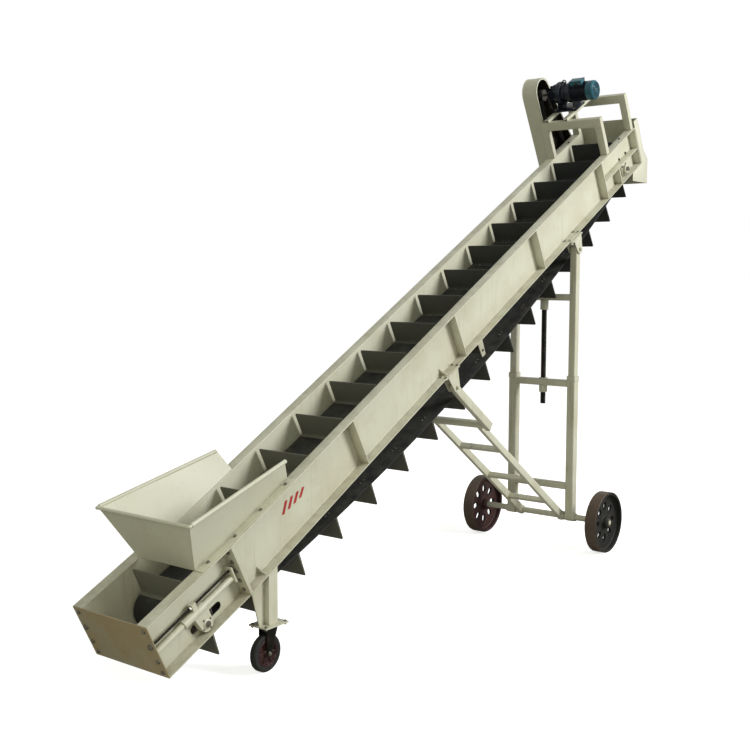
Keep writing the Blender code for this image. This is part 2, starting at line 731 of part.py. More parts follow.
def build_motor_stand(paint):
    outer = HALF_INNER + PORTAL_LEG
    for name, s in PORTALS:
        outline = [
            (-outer, GAP), (-outer, PORTAL_TOP), (outer, PORTAL_TOP), (outer, GAP),
            (HALF_INNER, GAP), (HALF_INNER, PORTAL_TOP - PORTAL_BAR),
            (-HALF_INNER, PORTAL_TOP - PORTAL_BAR), (-HALF_INNER, GAP),
        ]
        portal = sweep(name, MAIN, outline, s, s + PORTAL_DEPTH, paint)
        w = PORTAL_WALL
        pocket = [
            (-outer + w, GAP - 0.01), (-outer + w, PORTAL_TOP - w),
            (outer - w, PORTAL_TOP - w), (outer - w, GAP - 0.01),
            (HALF_INNER + w, GAP - 0.01), (HALF_INNER + w, PORTAL_TOP - PORTAL_BAR + w),
            (-HALF_INNER - w, PORTAL_TOP - PORTAL_BAR + w), (-HALF_INNER - w, GAP - 0.01),
        ]
        cut(portal, sweep("pocket", MAIN, pocket, s + w, s + PORTAL_DEPTH + 0.01, paint))
    start = PORTALS[0][1]
    end = PORTALS[1][1] + PORTAL_DEPTH
    for name, y in zip(("near", "far"), RAIL_Y):
        low = PORTAL_TOP + GAP
        high = low + RAIL_HEIGHT
        outline = [
            (y, low), (y + RAIL_WIDTH, low), (y + RAIL_WIDTH, low + 0.006), (y + 0.006, low + 0.006),
            (y + 0.006, high - 0.006), (y + RAIL_WIDTH, high - 0.006), (y + RAIL_WIDTH, high), (y, high),
        ]
        sweep("motor_rail_" + name, MAIN, outline, start, end, paint)


def build_motor(blue, dark):
    """Gear motor on its foot: ribbed body, gear case, fan cover and terminal box."""
    centre = (MOTOR_S, 0.0, MOTOR_N)
    seat = MOTOR_RADIUS - 0.002 - GAP
    profile = [
        (0.0, FAN_END + 0.070), (seat, FAN_END + 0.070), (seat, FAN_END + 0.085),
        (MOTOR_RADIUS, FAN_END + 0.095), (MOTOR_RADIUS, MOTOR_GEAR_Y - 0.02),
        (MOTOR_RADIUS + 0.008, MOTOR_GEAR_Y - 0.012),
        (MOTOR_RADIUS + 0.008, MOTOR_GEAR_Y + 0.012), (0.086, MOTOR_GEAR_Y + 0.024),
        (0.086, GEAR_END - 0.05), (0.060, GEAR_END - 0.02), (0.034, GEAR_END), (0.014, GEAR_END),
        (0.014, SHEAVE_Y[1] + 0.005), (0.0, SHEAVE_Y[1] + 0.005),
    ]
    body = lathe("motor", MAIN, centre, (0, 1, 0), profile, dark)
    top = PORTAL_TOP + 2 * GAP + RAIL_HEIGHT
    foot = block("foot", MAIN, (MOTOR_S - 0.110, MOTOR_S + 0.110), (RAIL_Y[0] - 0.010, RAIL_Y[1] + 0.060),
                 (top, top + 0.018), dark)
    webs = [prism("web", MAIN, [(MOTOR_S - 0.095, top + 0.01), (MOTOR_S + 0.095, top + 0.01),
                                (MOTOR_S + 0.060, MOTOR_N), (MOTOR_S - 0.060, MOTOR_N)], y, y + 0.014, dark)
            for y in (0.035, 0.215)]
    weld(body, foot, *webs)
    smooth(body)
    cover = [
        (MOTOR_RADIUS - 0.005, FAN_END), (MOTOR_RADIUS + 0.002, FAN_END + 0.008),
        (MOTOR_RADIUS + 0.002, FAN_END + 0.085 - GAP), (MOTOR_RADIUS - 0.002, FAN_END + 0.085 - GAP),
        (MOTOR_RADIUS - 0.002, FAN_END + 0.010), (0.0, FAN_END + 0.010), (0.0, FAN_END),
    ]
    smooth(lathe("motor_fan_cover", MAIN, centre, (0, 1, 0), cover, blue))
    box = block("terminal_box", MAIN, (MOTOR_S - 0.055, MOTOR_S + 0.055), (-0.090, 0.030),
                (MOTOR_N + MOTOR_RADIUS - 0.030, MOTOR_N + MOTOR_RADIUS + 0.045), blue)
    cut(box, across("seat", MAIN, MOTOR_S, MOTOR_N, -0.15, 0.15, MOTOR_RADIUS + GAP, blue))


DRIVE_SHEAVE = 0.070
DRIVEN_SHEAVE = 0.190
GUARD_TOP_RADIUS = 0.200
GUARD_LOW_RADIUS = 0.290
GUARD_SHEET = 0.003


def hull_outline(c0, r0, c1, r1, steps=14):
    """Two circles and their outer tangents, as one convex outline."""
    p0 = Vector(c0)
    p1 = Vector(c1)
    gap = (p1 - p0).length
    heading = math.atan2(p1.y - p0.y, p1.x - p0.x)
    lean = math.acos((r0 - r1) / gap)
    first = arc(c0, r0, heading + lean, heading + 2 * math.pi - lean, steps)
    second = arc(c1, r1, heading - lean, heading + lean, steps)
    return first + second


def ring(name, frame, outer, inner, y0, y1, mat):
    """Outline extruded across with a like outline as its hole; same point counts."""
    count = len(outer)
    verts = []
    for y in (y0, y1):
        for outline in (outer, inner):
            verts += [(s, y, n) for s, n in outline]
    faces = []
    for i in range(count):
        j = (i + 1) % count
        faces.append((i, j, count + j, count + i))
        faces.append((2 * count + i, 3 * count + i, 3 * count + j, 2 * count + j))
        faces.append((i, 2 * count + i, 2 * count + j, j))
        faces.append((count + i, count + j, 3 * count + j, 3 * count + i))
    return add(name, frame, verts, faces, mat)


def build_drive(paint, steel, rubber):
    """Sheaves, belts and the open-backed guard over them."""
    top = (MOTOR_S, MOTOR_N)
    low = (HEAD_DRUM_S, drum_n())
    y0, y1 = SHEAVE_Y
    for name, centre, radius, bore in (("drive_sheave", top, DRIVE_SHEAVE, 0.014 + GAP),
                                       ("driven_sheave", low, DRIVEN_SHEAVE, SHAFT_RADIUS + GAP)):
        profile = [(bore, y0), (radius, y0), (radius, y0 + 0.006), (radius - 0.012, y0 + 0.010),
                   (radius - 0.012, y1 - 0.010), (radius, y1 - 0.006), (radius, y1), (bore, y1)]
        smooth(lathe(name, MAIN, (centre[0], 0.0, centre[1]), (0, 1, 0), profile, steel))
    seat = (DRIVE_SHEAVE - 0.012 + GAP, DRIVEN_SHEAVE - 0.012 + GAP)
    inner = hull_outline(top, seat[0] * 1.01, low, seat[1] * 1.01)
    outer = hull_outline(top, DRIVE_SHEAVE - 0.002, low, DRIVEN_SHEAVE - 0.002)
    ring("drive_belt", MAIN, outer, inner, y0 + 0.011, y1 - 0.011, rubber)
    skin = hull_outline(top, GUARD_TOP_RADIUS, low, GUARD_LOW_RADIUS)
    room = hull_outline(top, GUARD_TOP_RADIUS - GUARD_SHEET, low, GUARD_LOW_RADIUS - GUARD_SHEET)
    guard = prism("belt_guard", MAIN, skin, GUARD_Y[0], GUARD_Y[1], paint)
    cut(guard, prism("room", MAIN, room, GUARD_Y[0] - 0.01, GUARD_Y[1] - GUARD_SHEET, paint))


CHUTE_Y = 0.300
CHUTE_SHEET = 0.004


def build_chute(paint):
    """Discharge hood: two cheeks and an apron round the head drum, open below and behind."""
    head_low = at(MAIN, HEAD_S, -SIDE_HEIGHT)
    front_top = at(MAIN, HEAD_S + CHUTE_REACH, 0.030)
    front_knee = at(MAIN, HEAD_S + CHUTE_REACH, -SIDE_HEIGHT)
    right = front_knee.x + CHUTE_DROP_REACH
    bottom = head_low.z - 0.230
    back_top = at(MAIN, HEAD_S + GAP, 0.030)
    back_low = at(MAIN, HEAD_S + GAP, -SIDE_HEIGHT)
    left = back_low.x - 0.150
    under = at(MAIN, HEAD_S - 0.180, -SIDE_HEIGHT - GAP)
    outline = [
        (back_top.x, back_top.z), (front_top.x, front_top.z), (right, front_knee.z - 0.02),
        (right, bottom), (left, bottom), (under.x, under.z), (back_low.x, back_low.z - GAP),
    ]
    shell = prism("discharge_chute", WORLD, outline, -CHUTE_Y, CHUTE_Y, paint)
    t = CHUTE_SHEET
    room = [
        (back_top.x - 0.2, back_top.z + 0.10), (front_top.x - t, front_top.z + 0.10),
        (front_top.x - t, front_top.z),
        (right - t, front_knee.z - 0.02), (right - t, bottom - 0.05), (left - 0.1, bottom - 0.05),
        (left - 0.1, under.z + 0.1),
    ]
    cut(shell, prism("room", WORLD, room, -CHUTE_Y + t, CHUTE_Y - t, paint))
    return shell


# Brackets of the jack stand under the main section
ARM_WIDTH = 0.050
ARM_DEPTH = 0.080
INNER_LEG = 0.076
OUTER_LEG = 0.090
LEG_WALL = 0.005


def build_brackets(paint):
    """Clevises under the channels, with their pins, for the arms and the legs."""
    table = (
        ("brace_bracket", BRACE_PIN_S, BRACE_PIN_N, ARM_Y, ARM_WIDTH / 2 + 0.003, 0.045),
        ("leg_bracket", LEG_PIN_S, LEG_PIN_N, LEG_Y, INNER_LEG / 2 + BRACKET_GAP, 0.050),
    )
    for part, s, n, y, half, radius in table:
        for name, side in SIDES.items():
            top = -SIDE_HEIGHT - GAP
            pad = block(part + "_" + name, MAIN, (s - 0.110, s + 0.120),
                        sorted((side * (y - half - BRACKET_PLATE), side * (y + half + BRACKET_PLATE))),
                        (top - 0.010, top), paint)
            outline = [(s - 0.075, top - 0.005), (s + 0.090, top - 0.005)]
            outline += arc((s, n), radius, -0.35, -math.pi + 0.15, 10)
            cheeks = [prism("cheek", MAIN, outline, *sorted((side * (y + k * half),
                                                             side * (y + k * (half + BRACKET_PLATE)))), paint)
                      for k in (-1, 1)]
            reach = half + BRACKET_PLATE
            pin = across("pin", MAIN, s, n, side * (y - reach - 0.020), side * (y + reach + 0.020),
                         PIN_RADIUS, paint, 24)
            heads = [across("head", MAIN, s, n, side * (y + k * (reach - 0.002)),
                            side * (y + k * (reach + 0.012)), 0.019, paint, 6) for k in (-1, 1)]
            weld(pad, *cheeks, pin, *heads)


def build_return_roller(steel):
    """Roller between the hangers, over the slack run."""
    end = HANGER_Y + BRACKET_PLATE + 0.012
    face = HANGER_Y - 0.015
    profile = [
        (0.0, -end), (ROLLER_PIN, -end), (ROLLER_PIN, -face), (RETURN_ROLLER, -face),
        (RETURN_ROLLER, face), (ROLLER_PIN, face), (ROLLER_PIN, end), (0.0, end),
    ]
    smooth(lathe("return_roller", MAIN, (RETURN_S, 0.0, RETURN_N), (0, 1, 0), profile, steel, 16))


# Caster under the near side
POST = 0.090
CASTER_PLATE_Z = 0.342
SWIVEL_X = X_START + CASTER_X
CASTER_PLATE = (0.230, 0.170, 0.010)
FORK_TOP_Z = 0.318


def channel_under(x):
    """Height of the underside of the main section above a world x."""
    low = at(MAIN, TAIL_LENGTH, -SIDE_HEIGHT)
    return low.z + (x - low.x) * math.tan(MAIN_ANGLE)


def build_caster(paint, steel, rubber, hub_paint):
    x = SWIVEL_X
    y = CASTER_Y
    half = POST / 2
    z = CASTER_PLATE_Z
    outline = [
        (x - half, z), (x + half, z), (x + half, channel_under(x + half) - GAP),
        (x - half, channel_under(x - half) - GAP),
    ]
    post = prism("caster_post", WORLD, outline, y - half, y + half, paint)
    wing = prism("wing", WORLD, [(x - half + 0.002, z), (x - half + 0.002, channel_under(x - half) - GAP),
                                 (x - 0.185, channel_under(x - 0.185) - GAP), (x - 0.100, z)],
                 y - 0.004, y + 0.004, paint)
    plate = block("plate", WORLD, (x - CASTER_PLATE[0] / 2, x + CASTER_PLATE[0] / 2),
                  (y - CASTER_PLATE[1] / 2, y + CASTER_PLATE[1] / 2), (z - CASTER_PLATE[2], z + 0.001), paint)
    weld(post, wing, plate)

    swivel = Matrix.Translation((x, y, CASTER_RADIUS))
    top = z - CASTER_PLATE[2] - GAP - CASTER_RADIUS
    crown = FORK_TOP_Z - CASTER_RADIUS
    fork = rod("caster_fork", swivel, (0, 0, crown - 0.002), (0, 0, top), 0.046, steel, 24)
    wing_y = CASTER_WIDTH / 2 + 0.008
    crown_plate = block("crown", swivel, (-0.065, 0.050), (-wing_y - 0.006, wing_y + 0.006),
                        (crown - 0.008, crown), steel)
    trail = -CASTER_TRAIL
    arm = [(-0.062, crown - 0.004), (0.048, crown - 0.004)]
    arm += arc((trail, 0.0), 0.022, -0.3, -math.pi + 0.1, 8)
    arms = [prism("arm", swivel, arm, *sorted((k * wing_y, k * (wing_y + 0.006))), steel) for k in (-1, 1)]
    bolt = rod("bolt", swivel, (trail, -wing_y - 0.016, 0), (trail, wing_y + 0.016, 0), 0.008, steel)
    weld(fork, crown_plate, *arms, bolt)
    smooth(fork)

    wheel = Matrix.Translation((x + trail, y, CASTER_RADIUS))
    w = CASTER_WIDTH / 2
    tyre = [(0.098, -w), (CASTER_RADIUS - 0.010, -w), (CASTER_RADIUS, -w + 0.012), (CASTER_RADIUS, w - 0.012),
            (CASTER_RADIUS - 0.010, w), (0.098, w)]
    smooth(lathe("caster_tyre", wheel, (0, 0, 0), (0, 1, 0), tyre, rubber))
    hub = [(0.0085, -w - 0.003), (0.030, -w - 0.003), (0.034, -0.012), (0.080, -0.012), (0.084, -w + 0.002),
           (0.098 - GAP, -w + 0.002), (0.098 - GAP, w - 0.002), (0.084, w - 0.002), (0.080, 0.012),
           (0.034, 0.012), (0.030, w + 0.003), (0.0085, w + 0.003)]
    smooth(lathe("caster_hub", wheel, (0, 0, 0), (0, 1, 0), hub, hub_paint))


CROSS_TUBE = 0.680        # along the brace from its pin
LADDER_Y = 0.235
STRINGER = (0.040, 0.060)
RUNGS = (1.190, 1.820, 2.310)
RUNG = 0.025
AXLE_BEARING = 0.048      # eye round the axle at the foot of a stringer


def build_brace(paint, steel):
    """Ladder brace from the trough to the axle, and the axle itself."""
    tube = rod("ladder_brace", BRACE, (CROSS_TUBE, -ARM_Y - 0.02, 0), (CROSS_TUBE, ARM_Y + 0.02, 0),
               0.036, paint, 24)
    pieces = []
    eyes = []
    for side in SIDES.values():
        y = side * ARM_Y
        outline = arc((0.0, 0.0), 0.034, math.pi / 2, 3 * math.pi / 2, 10)
        outline += [(CROSS_TUBE + 0.040, -ARM_DEPTH / 2), (CROSS_TUBE + 0.040, ARM_DEPTH / 2)]
        pieces.append(prism("arm", BRACE, outline, y - ARM_WIDTH / 2, y + ARM_WIDTH / 2, paint))
        eyes.append(across("eye", BRACE, 0.0, 0.0, y - 0.05, y + 0.05, PIN_RADIUS + 0.0005, paint, 24))
        y = side * LADDER_Y
        half = STRINGER[1] / 2
        outline = arc((BRACE_LENGTH, 0.0), AXLE_BEARING, -math.pi / 2 - 0.6, math.pi / 2 + 0.6, 14)
        outline += [(CROSS_TUBE, half), (CROSS_TUBE, -half)]
        pieces.append(prism("stringer", BRACE, outline, y - STRINGER[0] / 2, y + STRINGER[0] / 2, paint))
        eyes.append(across("eye", BRACE, BRACE_LENGTH, 0.0, y - 0.05, y + 0.05, AXLE_RADIUS + GAP, paint, 24))
    for place in RUNGS:
        pieces.append(block("rung", BRACE, (place - RUNG, place + RUNG), (-LADDER_Y, LADDER_Y),
                            (-RUNG, RUNG), paint))
    weld(tube, *pieces)
    cut(tube, *eyes)
    face = WHEEL_FACE_Y - WHEEL_WIDTH
    profile = [
        (0.0, -WHEEL_FACE_Y - 0.010), (STUB_RADIUS, -WHEEL_FACE_Y - 0.010), (STUB_RADIUS, -face + 0.010),
        (AXLE_RADIUS, -face + 0.010), (AXLE_RADIUS, face - 0.010), (STUB_RADIUS, face - 0.010),
        (STUB_RADIUS, WHEEL_FACE_Y + 0.010), (0.0, WHEEL_FACE_Y + 0.010),
    ]
    smooth(lathe("axle", LEG, (0, 0, 0), (0, 1, 0), profile, steel, 24))


OUTER_LEG_TOP = 1.455     # above the axle
BOTTOM_BAR = 0.315
LOWER_BAR = 1.375
UPPER_BAR = 2.250
BAR = 0.070
INNER_LEG_FOOT = 1.100
JACK_RADIUS = 0.028
JACK_FOOT = 1.150


def build_legs(paint, steel):
    """Telescopic stand: outer tubes on the axle, inner tubes on the trough, jack between."""
    inside = LEG_Y - OUTER_LEG / 2 + 0.002
    outer = block("outer_leg_frame", LEG, (-BAR / 2, BAR / 2), (-inside, inside),
                  (LOWER_BAR - BAR / 2, LOWER_BAR + BAR / 2), paint)
    pieces = [block("bar", LEG, (-0.030, 0.030), (-inside, inside),
                    (BOTTOM_BAR - BAR / 2, BOTTOM_BAR + BAR / 2), paint)]
    holes = []
    half = OUTER_LEG / 2
    for side in SIDES.values():
        y = side * LEG_Y
        outline = arc((0.0, 0.0), half, math.pi, 2 * math.pi, 14)
        outline += [(half, OUTER_LEG_TOP), (-half, OUTER_LEG_TOP)]
        pieces.append(prism("leg", LEG, outline, y - half, y + half, paint))
        room = half - LEG_WALL
        holes.append(block("room", LEG, (-room, room), (y - room, y + room),
                           (0.120, OUTER_LEG_TOP + 0.05), paint))
        holes.append(across("eye", LEG, 0.0, 0.0, y - 0.08, y + 0.08, AXLE_RADIUS + 0.0005, paint, 24))
    pieces.append(rod("nut", LEG, (0, 0, LOWER_BAR - BAR / 2 - 0.070), (0, 0, LOWER_BAR), 0.042, paint, 24))
    weld(outer, *pieces)
    holes.append(rod("thread", LEG, (0, 0, LOWER_BAR - 0.2), (0, 0, LOWER_BAR + 0.1),
                     JACK_RADIUS + 0.0005, paint, 24))
    cut(outer, *holes)

    slide = Matrix.Translation(LEG_PIN)
    low = -LEG_LENGTH
    half = INNER_LEG / 2
    inside = LEG_Y - half + 0.002
    bar = block("inner_leg_frame", slide, (-0.033, 0.033), (-inside, inside),
                (low + UPPER_BAR - 0.033, low + UPPER_BAR + 0.033), paint)
    pieces = []
    holes = []
    for side in SIDES.values():
        y = side * LEG_Y
        outline = arc((0.0, 0.0), half, 0.0, math.pi, 12)
        outline += [(-half, low + INNER_LEG_FOOT), (half, low + INNER_LEG_FOOT)]
        pieces.append(prism("leg", slide, outline, y - half, y + half, paint))
        room = half - LEG_WALL
        holes.append(block("room", slide, (-room, room), (y - room, y + room),
                           (low + INNER_LEG_FOOT - 0.05, -0.120), paint))
        holes.append(across("eye", slide, 0.0, 0.0, y - 0.06, y + 0.06, PIN_RADIUS + EYE_SLACK, paint, 24))
    collar = rod("collar", slide, (0, 0, low + UPPER_BAR - 0.130), (0, 0, low + UPPER_BAR), 0.042, paint, 24)
    weld(bar, *pieces, collar)
    cut(bar, *holes, rod("socket", slide, (0, 0, low + UPPER_BAR - 0.2), (0, 0, low + UPPER_BAR - 0.04),
                         JACK_RADIUS + GAP, paint, 24))
    rod("jack_screw", slide, (0, 0, low + JACK_FOOT), (0, 0, low + UPPER_BAR - 0.04 - GAP),
        JACK_RADIUS, steel, 24)


SPOKE_HOLES = 8


def build_wheels(iron):
    """Cast rear wheels: rim, dished web with eight oval windows, and hub."""
    w = WHEEL_WIDTH / 2
    rim_inner = WHEEL_RADIUS - 0.030
    rim = [(rim_inner, -w), (WHEEL_RADIUS - 0.004, -w), (WHEEL_RADIUS, -w + 0.004), (WHEEL_RADIUS, w - 0.004),
           (WHEEL_RADIUS - 0.004, w), (rim_inner, w)]
    hub = [(STUB_RADIUS + 0.0005, -w), (0.052, -w), (0.058, -w + 0.012), (0.058, w - 0.012), (0.052, w),
           (STUB_RADIUS + 0.0005, w)]
    web = [(0.050, -0.010), (rim_inner + 0.004, -0.010), (rim_inner + 0.004, 0.010), (0.050, 0.010)]
    for name, side in SIDES.items():
        place = Matrix.Translation(AXLE + Vector((0.0, side * (WHEEL_FACE_Y - w), 0.0)))
        wheel = lathe("rear_wheel_" + name, place, (0, 0, 0), (0, 1, 0), rim, iron, 40)
        weld(wheel, lathe("hub", place, (0, 0, 0), (0, 1, 0), hub, iron, 24),
             lathe("web", place, (0, 0, 0), (0, 1, 0), web, iron, 40))
        windows = []
        for k in range(SPOKE_HOLES):
            a = 2 * math.pi * k / SPOKE_HOLES
            turn = Matrix.Rotation(a, 4, "Y")
            outline = [(0.163 + 0.072 * math.cos(b), 0.036 * math.sin(b))
                       for b in (2 * math.pi * i / 12 for i in range(12))]
            windows.append(prism("window", place @ turn, outline, -0.03, 0.03, iron))
        cut(wheel, *windows)
        smooth(wheel)


def main():
    for obj in list(bpy.data.objects):
        bpy.data.objects.remove(obj, do_unlink=True)
    cream = material("cream_paint", (0.78, 0.79, 0.66), 0.45, 0.0)
    rubber = material("black_rubber", (0.02, 0.022, 0.024), 0.75, 0.0)
    steel = material("dark_steel", (0.10, 0.10, 0.10), 0.45, 0.9)
    blue = material("motor_blue", (0.02, 0.17, 0.24), 0.40, 0.0)
    navy = material("motor_body", (0.012, 0.03, 0.07), 0.45, 0.0)
    iron = material("wheel_iron", (0.055, 0.035, 0.028), 0.60, 0.3)
    red = material("hub_red", (0.16, 0.02, 0.03), 0.55, 0.0)
    build_sides(cream)
    build_tail_plate(cream)
    build_decks(cream)
    build_belt(rubber)
    build_drums(steel)
    build_take_up(cream, steel)
    build_head_bearings(cream)
    build_hopper(cream)
    build_motor_stand(cream)
    build_motor(blue, navy)
    build_drive(cream, steel, rubber)
    build_chute(cream)
    build_brackets(cream)
    build_return_roller(steel)
    build_caster(cream, steel, rubber, red)
    build_brace(cream, steel)
    build_legs(cream, steel)
    build_wheels(iron)


main()
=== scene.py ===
"""Finish of a mobile inclined belt conveyor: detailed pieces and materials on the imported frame."""
import math

import bpy
import numpy as np
from bpy.props import FloatProperty, FloatVectorProperty, IntProperty, PointerProperty
from mathutils import Matrix, Vector


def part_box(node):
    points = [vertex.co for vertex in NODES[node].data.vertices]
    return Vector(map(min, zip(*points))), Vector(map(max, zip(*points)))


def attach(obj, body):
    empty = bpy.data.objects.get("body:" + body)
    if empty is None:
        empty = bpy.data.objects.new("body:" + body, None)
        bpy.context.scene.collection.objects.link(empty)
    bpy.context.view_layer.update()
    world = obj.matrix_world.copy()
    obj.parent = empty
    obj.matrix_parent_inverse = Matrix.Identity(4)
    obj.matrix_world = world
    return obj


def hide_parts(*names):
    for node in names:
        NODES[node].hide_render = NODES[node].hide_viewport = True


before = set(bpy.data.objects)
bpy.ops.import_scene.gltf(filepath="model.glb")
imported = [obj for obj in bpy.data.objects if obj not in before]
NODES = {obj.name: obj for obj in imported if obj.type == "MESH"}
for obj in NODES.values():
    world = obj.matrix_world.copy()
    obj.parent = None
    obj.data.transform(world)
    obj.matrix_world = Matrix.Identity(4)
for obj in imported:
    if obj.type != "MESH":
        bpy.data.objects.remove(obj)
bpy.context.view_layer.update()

bl_info = {
    "name": "Belt conveyor finish",
    "version": (1, 0, 0),
    "blender": (4, 5, 0),
    "location": "3D View > Sidebar > Conveyor",
    "description": "Detailed pieces and worn paint for an inclined belt conveyor",
    "category": "Object",
}

SIDES = {"near": -1.0, "far": 1.0}
FULL_TURN = 2.0 * math.pi


def length(name, description, default):
    return FloatProperty(name=name, description=description, default=default, unit="LENGTH", precision=4)


def tint(name, description, default):
    return FloatVectorProperty(name=name, description=description, default=default, size=3,
                               subtype="COLOR", min=0.0, max=1.0)


class ConveyorSizes(bpy.types.PropertyGroup):
    """Sizes of the conveyor that the detailed pieces follow."""
    tail_slope: FloatProperty(name="Tail slope", description="Slope of the tail section",
                              default=math.radians(26.2), subtype="ANGLE")
    main_slope: FloatProperty(name="Main slope", description="Slope of the main section",
                              default=math.radians(28.8), subtype="ANGLE")
    tail_length: length("Tail length", "Tail end to the section joint", 0.819)
    deck_length: length("Deck length", "Tail end to head end along the deck", 7.859)
    inner_width: length("Inner width", "Between the webs of the sides", 0.54)
    side_height: length("Side height", "Height of the side channels", 0.419)
    flange_reach: length("Flange reach", "Inner web face to flange edge", 0.095)
    belt_width: length("Belt width", "Width of the belt", 0.5)
    belt_thickness: length("Belt thickness", "Thickness of the belt", 0.008)
    drum_radius: length("Drum radius", "Radius of both drums", 0.126)
    drum_rise: length("Drum rise", "Drum axes above the bottom edge of the sides", 0.072)
    tail_drum: length("Tail drum place", "Tail drum axis from the tail end", 0.43)
    head_drum: length("Head drum place", "Head drum axis from the tail end", 7.57)
    cleat_pitch: length("Cleat pitch", "Shortest spacing of the cleats", 0.47)
    first_cleat: length("First cleat", "First cleat from the tail end", 0.91)
    cleat_width: length("Cleat width", "Width of a cleat", 0.49)
    belt_sag: length("Belt sag", "Drop of the slack run below its chord", 0.26)
    wheel_radius: length("Wheel radius", "Radius of the rear wheels", 0.3045)
    wheel_width: length("Wheel width", "Width of the rear wheels", 0.12)
    wheel_face: length("Wheel face", "Outer wheel face from the middle", 0.773)
    wheel_windows: IntProperty(name="Wheel windows", description="Oval windows in a rear wheel",
                               default=8, min=4, max=16)
    caster_radius: length("Caster radius", "Radius of the caster wheel", 0.1356)
    motor_radius: length("Motor radius", "Radius of the motor over its fins", 0.099)


class ConveyorColours(bpy.types.PropertyGroup):
    """Colours of the paints and bare materials."""
    cream: tint("Cream paint", "Body paint", (0.6, 0.6, 0.48))
    cream_aged: tint("Aged cream", "Yellowed patches of the body paint", (0.52, 0.5, 0.37))
    # Grime: the colour of streaks, specks and caked dirt, and also of the shade painted into occluded
    # corners.
    grime_and_shade: tint("Grime and shade", "Streaks, specks and caked dust, and painted shade in corners", (0.135, 0.105, 0.062))
    rust: tint("Rust", "Rust on bare edges", (0.12, 0.045, 0.018))
    belt: tint("Belt rubber", "Clean belt rubber", (0.006, 0.006, 0.007))
    cleat: tint("Cleat rubber", "Cleats", (0.008, 0.011, 0.0115))
    dust: tint("Dust", "Dry dust on rubber", (0.085, 0.085, 0.066))
    steel: tint("Steel", "Bare machined steel", (0.18, 0.172, 0.16))
    motor_blue: tint("Motor cover", "Fan cover and terminal box", (0.02, 0.12, 0.165))
    motor_navy: tint("Motor body", "Finned body and gear case", (0.006, 0.011, 0.024))
    wheel_black: tint("Wheel black", "Outer side of the wheels", (0.006, 0.006, 0.005))
    wheel_red: tint("Wheel red", "Inner side of the wheels", (0.042, 0.012, 0.01))
    tread: tint("Wheel tread", "Dusty iron of the wheel rims", (0.09, 0.062, 0.042))
    hub_red: tint("Hub red", "Caster wheel centre", (0.04, 0.008, 0.009))
    bars_red: tint("Painted bars", "Plain bars on the near side", (0.42, 0.03, 0.028))


# Plane geometry


def unit(vectors):
    return vectors / np.linalg.norm(vectors, axis=-1, keepdims=True)


def cross2(a, b):
    return a[..., 0] * b[..., 1] - a[..., 1] * b[..., 0]


def rounded(outline, radius, steps=3, closed=True):
    """Outline whose corners are arcs tangent to both sides.

    An arc starts r tan(turn / 2) before its corner, round a centre r to the side it turns to.
    """
    p = np.asarray(outline, float)
    corners = p if closed else p[1:-1]
    before = unit(corners - (np.roll(p, 1, 0) if closed else p[:-2]))
    after = unit((np.roll(p, -1, 0) if closed else p[2:]) - corners)
    r = np.broadcast_to(np.asarray(radius, float), len(corners))
    turn = np.arctan2(cross2(before, after), (before * after).sum(1))
    start = corners - before * (r * np.tan(np.abs(turn) / 2))[:, None]
    left = np.stack([-before[:, 1], before[:, 0]], 1)
    centre = start + left * (np.sign(turn) * r)[:, None]
    spoke = start - centre
    a = turn[:, None] * np.linspace(0.0, 1.0, steps + 1)
    x = centre[:, :1] + spoke[:, :1] * np.cos(a) - spoke[:, 1:] * np.sin(a)
    y = centre[:, 1:] + spoke[:, :1] * np.sin(a) + spoke[:, 1:] * np.cos(a)
    arcs = np.stack([x, y], -1).reshape(-1, 2)
    return arcs if closed else np.concatenate([p[:1], arcs, p[-1:]])


def arc(centre, radius, start, end, steps):
    """Points centre + r (cos a, sin a) for angles from start to end."""
    a = np.linspace(start, end, steps + 1)
    return np.stack([centre[0] + radius * np.cos(a), centre[1] + radius * np.sin(a)], 1)


def rectangle(x0, x1, y0, y1):
    return np.array([(x0, y0), (x1, y0), (x1, y1), (x0, y1)], float)


def counter_clockwise(outline):
    area = cross2(outline, np.roll(outline, -1, 0)).sum()
    return outline if area > 0 else outline[::-1]


def corner_normals(outline):
    """Outward mitre of each corner: (n1 + n2) / (1 + n1 . n2) of its two edge normals."""
    edge = unit(np.roll(outline, -1, 0) - outline)
    after = np.stack([edge[:, 1], -edge[:, 0]], 1)
    before = np.roll(after, 1, 0)
    return (before + after) / np.maximum(1.0 + (before * after).sum(1), 0.3)[:, None]


def two_circles(c0, r0, c1, r1, steps=24):
    """Outline of two circles and their outer tangents, which lean by acos((r0 - r1) / gap)."""
    c0 = np.asarray(c0, float)
    c1 = np.asarray(c1, float)
    gap = np.linalg.norm(c1 - c0)
    heading = math.atan2(c1[1] - c0[1], c1[0] - c0[0])
    lean = math.acos((r0 - r1) / gap)
    first = arc(c0, r0, heading + lean, heading + FULL_TURN - lean, steps)
    return np.concatenate([first, arc(c1, r1, heading - lean, heading + lean, steps)])


# Shells: (points, quads, caps) of one closed surface each


def outward(points, quads, caps=()):
    """The shell with its faces turned outward: the sum of signed tetrahedra is its volume."""
    p = points - points.mean(0)
    a, b, c, d = (p[quads[:, k]] for k in range(4))
    volume = (a * np.cross(b, c)).sum() + (a * np.cross(c, d)).sum()
    for cap in caps:
        ring = p[cap]
        volume += (ring[0] * np.cross(ring[1:-1], ring[2:])).sum()
    if volume < 0.0:
        return points, quads[:, ::-1], [cap[::-1] for cap in caps]
    return points, quads, list(caps)


